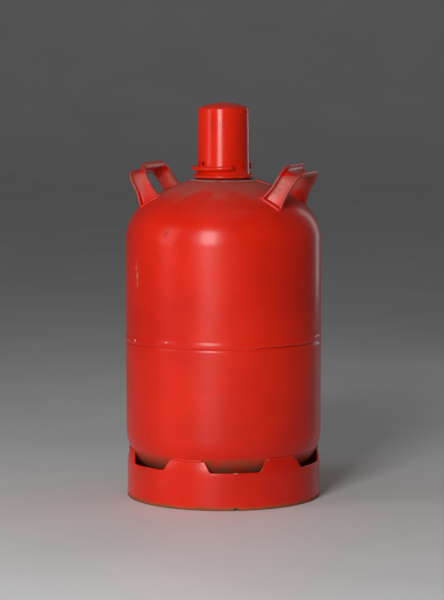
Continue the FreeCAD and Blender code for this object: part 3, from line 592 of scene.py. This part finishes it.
def neckBead():
    # fillet weld round the boss: a quarter hollow with ripples
    angle = np.linspace(0, tau, 240, endpoint=False)[:, None]
    t = np.linspace(0, 1, 12)[None, :]
    hole, leg, base = vessel["neckHole"], neck["weldLeg"], float(domeHeight(vessel["neckHole"]))
    wave = neck["weldRipple"] * np.sin(angle * 34 + 2.5 * t)
    radius = hole + leg * (1 - np.sin(t * math.pi / 2) ** 0.8) + wave
    height = base - neck["sunk"] + 0.9 * leg * (1 - np.cos(t * math.pi / 2) ** 0.8) + wave
    front = turnRound(angle, radius, height)
    back = turnRound(angle, np.full((len(angle), 1), hole - 0.001), np.full((len(angle), 1), base - 0.002))
    newPiece("neckBead", wrapped(np.concatenate([front, back], 1)), "tank", "body_paint", "neck_weld")


# the relief valve's spring

spring = {"turns": 3.0, "radius": 0.0049, "wire": 0.00055, "steps": 96, "sides": 12}


def reliefSpring():
    # round wire on a helix about the Y direction, its inner end by the poppet and its outer end by the tank
    low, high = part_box("relief_spring")
    middle, wire = (low.z + high.z) / 2, spring["wire"]
    t = np.linspace(0, 1, spring["steps"])
    turn = tau * spring["turns"] * t
    along = low.y + wire + (high.y - low.y - 2 * wire) * t
    path = np.stack([spring["radius"] * np.cos(turn), along, middle + spring["radius"] * np.sin(turn)], -1)
    rings = roundTube(path, wire, spring["sides"], [0, 1, 0])
    stretch = ("poppet", "tank", (0, low.y, middle), (0, high.y, middle))
    newPiece("springWire", capped(rings), stretch, "fixing_steel", "relief_spring")


upperHalf()
lowerHalf()
girthBead()
footRing()
tabBeads()
handle("handleLeft", -1)
handle("handleRight", 1)
gripLoop()
loopCollars()
neckThread()
neckBead()
reliefSpring()
print("surfaces made")


# shader tools

def shaderMath(tree, kind, a, b=0.0, c=0.0):
    node = tree.nodes.new("ShaderNodeMath")
    node.operation = kind
    for socket, value in zip(node.inputs, (a, b, c)):
        if isinstance(value, (int, float)):
            socket.default_value = value
        else:
            tree.links.new(value, socket)
    return node.outputs[0]


def times(tree, *values):
    # all the values multiplied together
    total = values[0]
    for value in values[1:]:
        total = shaderMath(tree, "MULTIPLY", total, value)
    return total


def greatest(tree, *values):
    total = values[0]
    for value in values[1:]:
        total = shaderMath(tree, "MAXIMUM", total, value)
    return total


def ramped(tree, value, low, high, toLow=0.0, toHigh=1.0):
    node = tree.nodes.new("ShaderNodeMapRange")
    node.interpolation_type = "SMOOTHSTEP"
    tree.links.new(value, node.inputs["Value"])
    for socket, number in zip(node.inputs[1:5], (low, high, toLow, toHigh)):
        if isinstance(number, (int, float)):
            socket.default_value = number
        else:
            tree.links.new(number, socket)
    return node.outputs[0]


def noise(tree, vector, scale, detail=3.0, rough=0.5, stretch=None):
    if stretch:
        mapping = tree.nodes.new("ShaderNodeMapping")
        mapping.inputs["Scale"].default_value = stretch
        tree.links.new(vector, mapping.inputs["Vector"])
        vector = mapping.outputs[0]
    node = tree.nodes.new("ShaderNodeTexNoise")
    tree.links.new(vector, node.inputs["Vector"])
    if isinstance(scale, (int, float)):
        node.inputs["Scale"].default_value = scale
    else:
        tree.links.new(scale, node.inputs["Scale"])
    node.inputs["Detail"].default_value = detail
    node.inputs["Roughness"].default_value = rough
    return node.outputs["Fac"]


def blended(tree, factor, a, b):
    node = tree.nodes.new("ShaderNodeMix")
    node.data_type = "RGBA"
    # sockets 6 and 7 are the two colours
    for socket, value in zip((node.inputs["Factor"], node.inputs[6], node.inputs[7]), (factor, a, b)):
        if isinstance(value, (int, float)):
            socket.default_value = value
        elif isinstance(value, tuple):
            socket.default_value = (*value, 1.0)
        else:
            tree.links.new(value, socket)
    return node.outputs[2]


def newGroup(name, inputs, outputs):
    tree = bpy.data.node_groups.new(name, "ShaderNodeTree")
    for label, kind, value in inputs:
        socket = tree.interface.new_socket(label, in_out="INPUT", socket_type=kind)
        if value is not None:
            socket.default_value = value
    for label, kind in outputs:
        tree.interface.new_socket(label, in_out="OUTPUT", socket_type=kind)
    return tree, tree.nodes.new("NodeGroupInput").outputs, tree.nodes.new("NodeGroupOutput").inputs


def placed(tree, group, **values):
    node = tree.nodes.new("ShaderNodeGroup")
    node.node_tree = group
    for label, value in values.items():
        if isinstance(value, (int, float)):
            node.inputs[label].default_value = value
        else:
            tree.links.new(value, node.inputs[label])
    return node.outputs


def chipGroup():
    # flakes of lost paint: fine noise over a threshold that a wanted cover lowers
    given = [("Vector", "NodeSocketVector", None), ("Size", "NodeSocketFloat", 120.0),
             ("Cover", "NodeSocketFloat", 0.0)]
    tree, given, out = newGroup("paintChips", given, [("Chips", "NodeSocketFloat")])
    spots = noise(tree, given["Vector"], given["Size"], 6.0, 0.62)
    level = shaderMath(tree, "SUBTRACT", 0.78, given["Cover"])
    tree.links.new(ramped(tree, shaderMath(tree, "SUBTRACT", spots, level), 0.0, 0.012), out["Chips"])
    return tree


def peelGroup():
    # height of sprayed enamel: fine orange peel over a slow roll
    given = [("Vector", "NodeSocketVector", None)]
    tree, given, out = newGroup("orangePeel", given, [("Height", "NodeSocketFloat")])
    fine = noise(tree, given["Vector"], 520.0, 2.0, 0.5)
    slow = noise(tree, given["Vector"], 60.0, 2.0, 0.4)
    tree.links.new(shaderMath(tree, "MULTIPLY_ADD", fine, 0.5, slow), out["Height"])
    return tree


def placeGroup():
    # where a point is on the cylinder: angle from the front in radians, distance from the axis, height
    measures = [(label, "NodeSocketFloat") for label in ("Angle", "Radius", "Height")]
    tree, given, out = newGroup("whereOnTank", [("Vector", "NodeSocketVector", None)], measures)
    split = tree.nodes.new("ShaderNodeSeparateXYZ")
    tree.links.new(given["Vector"], split.inputs[0])
    x, y, z = split.outputs
    tree.links.new(shaderMath(tree, "ARCTAN2", x, times(tree, y, -1.0)), out["Angle"])
    squares = shaderMath(tree, "ADD", times(tree, x, x), times(tree, y, y))
    tree.links.new(shaderMath(tree, "SQRT", squares), out["Radius"])
    tree.links.new(z, out["Height"])
    return tree


chips, peel, place = chipGroup(), peelGroup(), placeGroup()


def newMaterial(name):
    material = bpy.data.materials.new(name)
    material.use_nodes = True
    tree = material.node_tree
    tree.nodes.clear()
    shader = tree.nodes.new("ShaderNodeBsdfPrincipled")
    output = tree.nodes.new("ShaderNodeOutputMaterial")
    tree.links.new(shader.outputs[0], output.inputs[0])
    coord = tree.nodes.new("ShaderNodeTexCoord").outputs["Object"]
    return material, tree, shader, coord


def bumped(tree, shader, height, distance, strength):
    bump = tree.nodes.new("ShaderNodeBump")
    bump.inputs["Distance"].default_value = distance
    bump.inputs["Strength"].default_value = strength
    tree.links.new(height, bump.inputs["Height"])
    tree.links.new(bump.outputs[0], shader.inputs["Normal"])


def streaks(tree, arc, height, tilt, fine, long):
    # noise drawn out along lines at a tilt from level, on the unrolled side of the cylinder
    cosine, sine = math.cos(math.radians(tilt)), math.sin(math.radians(tilt))
    along = shaderMath(tree, "MULTIPLY_ADD", arc, cosine * long, times(tree, height, sine * long))
    across = shaderMath(tree, "MULTIPLY_ADD", arc, -sine * fine, times(tree, height, cosine * fine))
    flat = tree.nodes.new("ShaderNodeCombineXYZ")
    tree.links.new(along, flat.inputs[0])
    tree.links.new(across, flat.inputs[1])
    return noise(tree, flat.outputs[0], 1.0, 3.0, 0.7)


def bell(tree, value, middle, width):
    # 1 at the middle, falling away to 0 at a width on either side
    away = shaderMath(tree, "ABSOLUTE", shaderMath(tree, "SUBTRACT", value, middle))
    return ramped(tree, away, width, 0.0)


# the colour for low on the bottom head is a darker brown, laid inside the foot ring
# the grey-brown colour for the shoulder is dust together with a painted reflection of grey surroundings on
# the upward faces
enamel = {
    "red": (0.72, 0.016, 0.002), "deepRed": (0.60, 0.010, 0.0015), "primer": (0.66, 0.58, 0.44),
    "lowDark": (0.20, 0.07, 0.033), "rust": (0.25, 0.085, 0.026), "dustAndReflection": (0.25, 0.150, 0.120),
    "pale": (0.60, 0.58, 0.54), "nick": (0.10, 0.008, 0.005), "shine": 0.27,
}
# heights, widths and radii in metres, angles in degrees from the front
bodyWear = {
    "rough": 0.27, "coat": 0.14, "coatRough": 0.16, "peel": 0.24, "bump": 0.00016,
    "dustAndReflectionFrom": 0.425, "dustAndReflectionPatches": 0.050, "dustAndReflectionFade": 0.032, "dustAndReflectionAmount": 0.66, "neckFrom": 0.4965,
    "scrapeRadius": 0.0490, "scrapeHalf": 0.0022, "scrapeAmount": 0.9,
    "lowDarkFrom": 0.094, "lowDarkFull": 0.060, "lowDarkInside": 0.1435, "lowDarkAmount": 0.9,
    "rustPatches": 0.013, "rustBase": -0.0008, "rustFade": 0.0012,
    "chipSize": 150.0, "chipEdge": 0.135, "chipGirth": 0.055, "chipFoot": 0.045, "chipSide": 0.022,
    "bigChips": ((-48.6, 0.2475), (-21.0, 0.2505)), "bigChipCover": 0.42,
    "scratchAngle": -46.5, "scratchHeight": 0.348, "scratchTilt": 87.0,
    "scuffAngle": -26.4, "scuffHeight": 0.036, "scuffTilt": -32.0,
    "nickAngle": -21.5, "nickHeight": 0.412, "nickStep": 0.0035, "nickSlope": 0.85, "nickHalf": 0.009,
}


def shoulderDustAndReflection(tree, coord, height):
    # dust on the shoulder together with a painted reflection of grey surroundings, wiped off in patches, and
    # none on the neck
    patches = noise(tree, coord, 16.0, 4.0, 0.6)
    start = shaderMath(tree, "MULTIPLY_ADD", patches, bodyWear["dustAndReflectionPatches"], bodyWear["dustAndReflectionFrom"])
    dusty = ramped(tree, height, start, shaderMath(tree, "ADD", start, bodyWear["dustAndReflectionFade"]))
    wiped = ramped(tree, noise(tree, coord, 11.0, 2.0, 0.5), 0.43, 0.46, 0.30, 1.0)
    onShell = ramped(tree, height, bodyWear["neckFrom"] + 0.001, bodyWear["neckFrom"])
    grain = ramped(tree, noise(tree, coord, 300.0, 3.0, 0.7), 0.3, 0.75, 0.45, 1.0)
    return times(tree, dusty, wiped, onShell, grain)


def guardScrape(tree, coord, radius, height):
    # the guard's rolled edge has scraped a pale ring on the crown
    ring = bell(tree, radius, bodyWear["scrapeRadius"], bodyWear["scrapeHalf"])
    broken = ramped(tree, noise(tree, coord, 90.0, 3.0), 0.30, 0.45)
    return times(tree, ring, ramped(tree, height, 0.482, 0.485), broken)


def lowHeadDarkening(tree, coord, radius, height):
    # a darker brown low on the bottom head and in the notches
    low = ramped(tree, height, bodyWear["lowDarkFrom"], bodyWear["lowDarkFull"])
    inside = ramped(tree, radius, bodyWear["lowDarkInside"] + 0.0017, bodyWear["lowDarkInside"])
    return times(tree, low, inside, ramped(tree, noise(tree, coord, 40.0, 5.0, 0.6), 0.25, 0.65, 0.35, 1.0))


def footRust(tree, coord, height):
    # rust along the foot, up to a ragged edge
    patches = noise(tree, coord, 75.0, 5.0, 0.65)
    top = shaderMath(tree, "MULTIPLY_ADD", patches, bodyWear["rustPatches"], bodyWear["rustBase"])
    below = shaderMath(tree, "SUBTRACT", top, bodyWear["rustFade"])
    rust = ramped(tree, height, shaderMath(tree, "ADD", top, bodyWear["rustFade"]), below)
    return times(tree, rust, ramped(tree, noise(tree, coord, 310.0, 4.0, 0.7), 0.40, 0.52, 0.25, 1.0))


def bodyChips(tree, coord, angle, radius, height):
    # chips: more on edges, at the girth weld and on the foot ring, and two larger ones on the bead
    edge = tree.nodes.new("ShaderNodeAttribute")
    edge.attribute_name = "edge"
    cover = greatest(tree, times(tree, edge.outputs["Fac"], bodyWear["chipEdge"]),
                     times(tree, bell(tree, height, 0.247, 0.010), bodyWear["chipGirth"]),
                     ramped(tree, height, 0.056, 0.010, 0.0, bodyWear["chipFoot"]),
                     times(tree, ramped(tree, radius, 0.110, 0.145), bodyWear["chipSide"]))
    for degrees, level in bodyWear["bigChips"]:
        beside = bell(tree, angle, math.radians(degrees), 0.030)
        spot = times(tree, beside, bell(tree, height, level, 0.0040), bodyWear["bigChipCover"])
        cover = greatest(tree, cover, spot)
    return placed(tree, chips, Vector=coord, Size=bodyWear["chipSize"], Cover=cover)["Chips"]


def bodyScratches(tree, arc, angle, height):
    # fine upright scratches on one flank
    flank = times(tree, bell(tree, angle, math.radians(bodyWear["scratchAngle"]), 0.12),
                  bell(tree, height, bodyWear["scratchHeight"], 0.070))
    lines = streaks(tree, arc, height, bodyWear["scratchTilt"], 1300.0, 75.0)
    upright = shaderMath(tree, "SUBTRACT", lines, shaderMath(tree, "MULTIPLY_ADD", flank, -0.30, 0.84))
    # scuffs low on the foot ring
    scuffed = times(tree, bell(tree, angle, math.radians(bodyWear["scuffAngle"]), 0.26),
                    bell(tree, height, bodyWear["scuffHeight"], 0.026))
    lines = streaks(tree, arc, height, bodyWear["scuffTilt"], 1100.0, 95.0)
    slanted = shaderMath(tree, "SUBTRACT", lines, shaderMath(tree, "MULTIPLY_ADD", scuffed, -0.235, 0.83))
    return greatest(tree, ramped(tree, upright, 0.0, 0.03), ramped(tree, slanted, 0.0, 0.03))


def slantingNicks(tree, arc, height):
    # a pair of dark slanting nicks, one a step above the other
    along = shaderMath(tree, "SUBTRACT", arc, math.radians(bodyWear["nickAngle"]) * vessel["radius"])
    slope = shaderMath(tree, "MULTIPLY_ADD", along, bodyWear["nickSlope"], bodyWear["nickHeight"])
    off = shaderMath(tree, "SUBTRACT", height, slope)
    pair = greatest(tree, bell(tree, off, 0.0, 0.0010), bell(tree, off, bodyWear["nickStep"], 0.0009))
    return ramped(tree, times(tree, pair, bell(tree, along, 0.0, bodyWear["nickHalf"])), 0.1, 0.5)


def bodyEnamel():
    material, tree, shader, coord = newMaterial("bodyEnamel")
    where = placed(tree, place, Vector=coord)
    angle, radius, height = where["Angle"], where["Radius"], where["Height"]
    arc = times(tree, angle, vessel["radius"])
    dustAndReflection, lowDark = shoulderDustAndReflection(tree, coord, height), lowHeadDarkening(tree, coord, radius, height)
    rust, flakes = footRust(tree, coord, height), bodyChips(tree, coord, angle, radius, height)
    scratch, nicks = bodyScratches(tree, arc, angle, height), slantingNicks(tree, arc, height)
    scrape = times(tree, guardScrape(tree, coord, radius, height), bodyWear["scrapeAmount"])
    cloud = ramped(tree, noise(tree, coord, 7.0, 4.0, 0.55), 0.35, 0.68)
    base = blended(tree, cloud, enamel["red"], enamel["deepRed"])
    # the shoulder's grey-brown layer is dust together with a painted reflection of grey surroundings
    layers = ((times(tree, dustAndReflection, bodyWear["dustAndReflectionAmount"]), "dustAndReflection"),
              (times(tree, lowDark, bodyWear["lowDarkAmount"]), "lowDark"),
              (rust, "rust"), (nicks, "nick"), (flakes, "primer"), (scratch, "primer"), (scrape, "pale"))
    for mask, colour in layers:
        base = blended(tree, mask, base, enamel[colour])
    tree.links.new(base, shader.inputs["Base Color"])
    # rust, chips, dust with its painted reflection and the darker low places are dull and have no clear coat
    dull = greatest(tree, times(tree, dustAndReflection, 0.30), times(tree, rust, 0.55), times(tree, flakes, 0.35),
                    times(tree, lowDark, 0.35))
    smear = ramped(tree, noise(tree, coord, 22.0, 5.0, 0.6), 0.3, 0.7, 0.0, 0.07)
    rough = shaderMath(tree, "ADD", shaderMath(tree, "ADD", dull, smear), bodyWear["rough"])
    tree.links.new(rough, shader.inputs["Roughness"])
    tree.links.new(ramped(tree, dull, 0.25, 0.02, 0.0, bodyWear["coat"]), shader.inputs["Coat Weight"])
    shader.inputs["Coat Roughness"].default_value = bodyWear["coatRough"]
    shader.inputs["Specular IOR Level"].default_value = enamel["shine"]
    pitted = times(tree, rust, noise(tree, coord, 420.0, 5.0, 0.7), 2.2)
    skin = placed(tree, peel, Vector=coord)["Height"]
    relief = shaderMath(tree, "MULTIPLY_ADD", skin, bodyWear["peel"], pitted)
    relief = shaderMath(tree, "SUBTRACT", relief, greatest(tree, flakes, scratch))
    bumped(tree, shader, relief, bodyWear["bump"], 0.85)
    return material


guardWear = {
    "coat": 0.1, "coatRough": 0.12, "peel": 0.09, "bump": 0.00013, "chipSize": 210.0,
    "rimHeight": 0.4925, "rimCover": 0.13, "topHeight": 0.598, "topCover": 0.055, "dustAndReflectionFrom": 0.5975,
}


def guardEnamel():
    # the same enamel, rubbed at the rolled edge and round the top, with a little dust above
    material, tree, shader, coord = newMaterial("guardEnamel")
    height = placed(tree, place, Vector=coord)["Height"]
    cloud = ramped(tree, noise(tree, coord, 16.0, 4.0, 0.55), 0.35, 0.7)
    base = blended(tree, cloud, enamel["red"], enamel["deepRed"])
    rim = times(tree, bell(tree, height, guardWear["rimHeight"], 0.0040), guardWear["rimCover"])
    knocks = times(tree, bell(tree, height, guardWear["topHeight"], 0.006), guardWear["topCover"])
    cover = greatest(tree, rim, knocks)
    flakes = placed(tree, chips, Vector=coord, Size=guardWear["chipSize"], Cover=cover)["Chips"]
    patches = ramped(tree, noise(tree, coord, 60.0, 4.0), 0.3, 0.7, 0.05, 0.2)
    dustAndReflection = times(tree, ramped(tree, height, guardWear["dustAndReflectionFrom"], guardWear["dustAndReflectionFrom"] + 0.0055), patches)
    base = blended(tree, dustAndReflection, base, enamel["dustAndReflection"])
    base = blended(tree, flakes, base, enamel["primer"])
    tree.links.new(base, shader.inputs["Base Color"])
    smear = ramped(tree, noise(tree, coord, 45.0, 5.0, 0.6), 0.3, 0.7, 0.18, 0.27)
    tree.links.new(shaderMath(tree, "MULTIPLY_ADD", flakes, 0.3, smear), shader.inputs["Roughness"])
    shader.inputs["Coat Weight"].default_value = guardWear["coat"]
    shader.inputs["Coat Roughness"].default_value = guardWear["coatRough"]
    shader.inputs["Specular IOR Level"].default_value = enamel["shine"]
    relief = times(tree, placed(tree, peel, Vector=coord)["Height"], guardWear["peel"])
    bumped(tree, shader, shaderMath(tree, "SUBTRACT", relief, flakes), guardWear["bump"], 0.7)
    return material


metals = {
    "greasedSteel": {"light": (0.42, 0.39, 0.35), "dark": (0.10, 0.07, 0.05), "rough": 0.34, "stain": 0.6,
                     "grain": 900.0},
    "dullBrass": {"light": (0.74, 0.52, 0.22), "dark": (0.30, 0.17, 0.06), "rough": 0.27, "stain": 0.55,
                  "grain": 1100.0},
    "zincSteel": {"light": (0.62, 0.62, 0.61), "dark": (0.33, 0.32, 0.30), "rough": 0.30, "stain": 0.5,
                  "grain": 1000.0},
}


def metal(name):
    # turned or forged metal: fine machining grain round the part, and darker stain in patches
    values = metals[name]
    material, tree, shader, coord = newMaterial(name)
    patch = ramped(tree, noise(tree, coord, 85.0, 5.0, 0.62), 0.38, 0.70)
    speck = ramped(tree, noise(tree, coord, 520.0, 3.0, 0.6), 0.60, 0.72)
    colour = blended(tree, times(tree, patch, values["stain"]), values["light"], values["dark"])
    colour = blended(tree, times(tree, speck, 0.5), colour, values["dark"])
    tree.links.new(colour, shader.inputs["Base Color"])
    shader.inputs["Metallic"].default_value = 1.0
    coarse = values["grain"] / 6
    grain = noise(tree, coord, 1.0, 3.0, 0.6, (coarse, coarse, values["grain"]))
    brushed = ramped(tree, grain, 0.2, 0.8, values["rough"] - 0.06, values["rough"] + 0.08)
    tree.links.new(shaderMath(tree, "MULTIPLY_ADD", patch, 0.16, brushed), shader.inputs["Roughness"])
    bumped(tree, shader, shaderMath(tree, "MULTIPLY_ADD", speck, -0.6, grain), 0.00008, 0.5)
    return material


moulded = {
    "sealRubber": {"colour": (0.018, 0.018, 0.018), "paler": (0.05, 0.05, 0.05), "rough": 0.62,
                   "grain": 900.0, "depth": 0.00006},
    "wheelPlastic": {"colour": (0.022, 0.022, 0.024), "paler": (0.06, 0.06, 0.062), "rough": 0.48,
                     "grain": 1300.0, "depth": 0.00005},
}


def dullStuff(name):
    # moulded rubber or plastic: fine skin texture and paler rubbed patches
    values = moulded[name]
    material, tree, shader, coord = newMaterial(name)
    rubbed = ramped(tree, noise(tree, coord, values["grain"] / 6, 4.0, 0.6), 0.45, 0.75)
    tree.links.new(blended(tree, rubbed, values["colour"], values["paler"]), shader.inputs["Base Color"])
    rough = ramped(tree, rubbed, 0.0, 1.0, values["rough"], values["rough"] - 0.14)
    tree.links.new(rough, shader.inputs["Roughness"])
    bumped(tree, shader, noise(tree, coord, values["grain"], 3.0, 0.6), values["depth"], 0.6)
    return material


finishes = {
    "body_paint": bodyEnamel(),
    "guard_paint": guardEnamel(),
    "thread_steel": metal("greasedSteel"),
    "valve_brass": metal("dullBrass"),
    "fixing_steel": metal("zincSteel"),
    "seal_rubber": dullStuff("sealRubber"),
    "wheel_plastic": dullStuff("wheelPlastic"),
}
slotOf = {entry["node"]: entry["material_slot"] for entry in frame["record"]["subparts"]}
for name, node in nodes.items():
    node.data.materials.clear()
    node.data.materials.append(finishes[slotOf[name]])
for piece in list(bpy.context.scene.objects):
    if piece.type == "MESH" and piece.name not in nodes:
        piece.data.materials.append(finishes[piece.get("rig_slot", "body_paint")])
print("finishes given")


# stage, light and camera

view = {
    "azimuth": 14.0, "distance": 3.903, "height": 0.7037, "aim": 0.30207, "aimLeft": 0.00245,
    "lens": 153.0, "sensor": 36.0,
}


def towards(azimuth, distance, height):
    # a place seen from the axis at an angle from the front
    a = math.radians(azimuth)
    return Vector((distance * math.sin(a), -distance * math.cos(a), height))


backdrop = {
    "front": -12.0, "back": 8.0, "bend": 3.0, "high": 9.0, "half": 14.0, "grey": 0.70, "paleGrey": 0.74,
    "rough": 0.55,
}


def sweep():
    # floor that curves up into a wall behind: one outline carried sideways
    turn = np.linspace(0, math.pi / 2, 24)
    bend, back = backdrop["bend"], backdrop["back"]
    depth = np.concatenate([[backdrop["front"], 0.0], back + bend * np.sin(turn), [back + bend]])
    rise = np.concatenate([[0.0, 0.0], bend - bend * np.cos(turn), [backdrop["high"]]])
    wide = np.array([-backdrop["half"], backdrop["half"]])
    a = math.radians(view["azimuth"])
    x = wide[:, None] * math.cos(a) - depth[None, :] * math.sin(a)
    y = wide[:, None] * math.sin(a) + depth[None, :] * math.cos(a)
    points = np.stack([x, y, np.broadcast_to(rise[None, :], x.shape)], -1).reshape(-1, 3)
    mesh = bpy.data.meshes.new("sweep")
    mesh.from_pydata(points, [], gridFaces(2, len(depth), False, False))
    mesh.polygons.foreach_set("use_smooth", np.ones(len(mesh.polygons), bool))
    floor = bpy.data.objects.new("sweep", mesh)
    bpy.context.scene.collection.objects.link(floor)
    material, tree, shader, coord = newMaterial("paleFloor")
    tone = ramped(tree, noise(tree, coord, 3.0, 4.0), 0.3, 0.7)
    grey, paleGrey = (backdrop["grey"],) * 3, (backdrop["paleGrey"],) * 3
    tree.links.new(blended(tree, tone, grey, paleGrey), shader.inputs["Base Color"])
    shader.inputs["Roughness"].default_value = backdrop["rough"]
    mesh.materials.append(material)


studio = {
    "aimHeight": 0.38, "skyGrey": 0.90, "skyStrength": 0.11,
    # degrees round from the camera, distance, height, width, height of the panel, watts
    "leftBox": (-67, 2.3, 0.95, 0.70, 1.5, 7),
    "frontBox": (-17, 2.4, 1.05, 0.72, 1.4, 46),
    "rimBox": (141, 1.9, 0.75, 0.22, 1.3, 2),
    "overhead": (-30, 0.4, 2.6, 1.8, 1.8, 3),
}


def softBox(name):
    degrees, distance, height, wide, tall, watts = studio[name]
    data = bpy.data.lights.new(name, "AREA")
    data.shape = "RECTANGLE"
    data.size, data.size_y = wide, tall
    data.energy = watts
    lamp = bpy.data.objects.new(name, data)
    lamp.location = towards(view["azimuth"] + degrees, distance, height)
    aim = Vector((0, 0, studio["aimHeight"]))
    lamp.rotation_euler = (aim - lamp.location).to_track_quat("-Z", "Y").to_euler()
    bpy.context.scene.collection.objects.link(lamp)


sweep()
for name in ("leftBox", "frontBox", "rimBox", "overhead"):
    softBox(name)

world = bpy.data.worlds.new("studio")
world.use_nodes = True
sky = world.node_tree.nodes["Background"].inputs
sky["Color"].default_value = (*(studio["skyGrey"],) * 3, 1)
sky["Strength"].default_value = studio["skyStrength"]
bpy.context.scene.world = world
bpy.context.scene.view_settings.view_transform = "Standard"

camera = bpy.data.objects.new("camera", bpy.data.cameras.new("camera"))
camera.data.lens = view["lens"]
camera.data.sensor_width = view["sensor"]
camera.location = towards(view["azimuth"], view["distance"], view["height"])
aim = towards(view["azimuth"] - 90, view["aimLeft"], view["aim"])
camera.rotation_euler = (aim - camera.location).to_track_quat("-Z", "Y").to_euler()
bpy.context.scene.collection.objects.link(camera)
bpy.context.scene.camera = camera
print("stage, light and camera set")
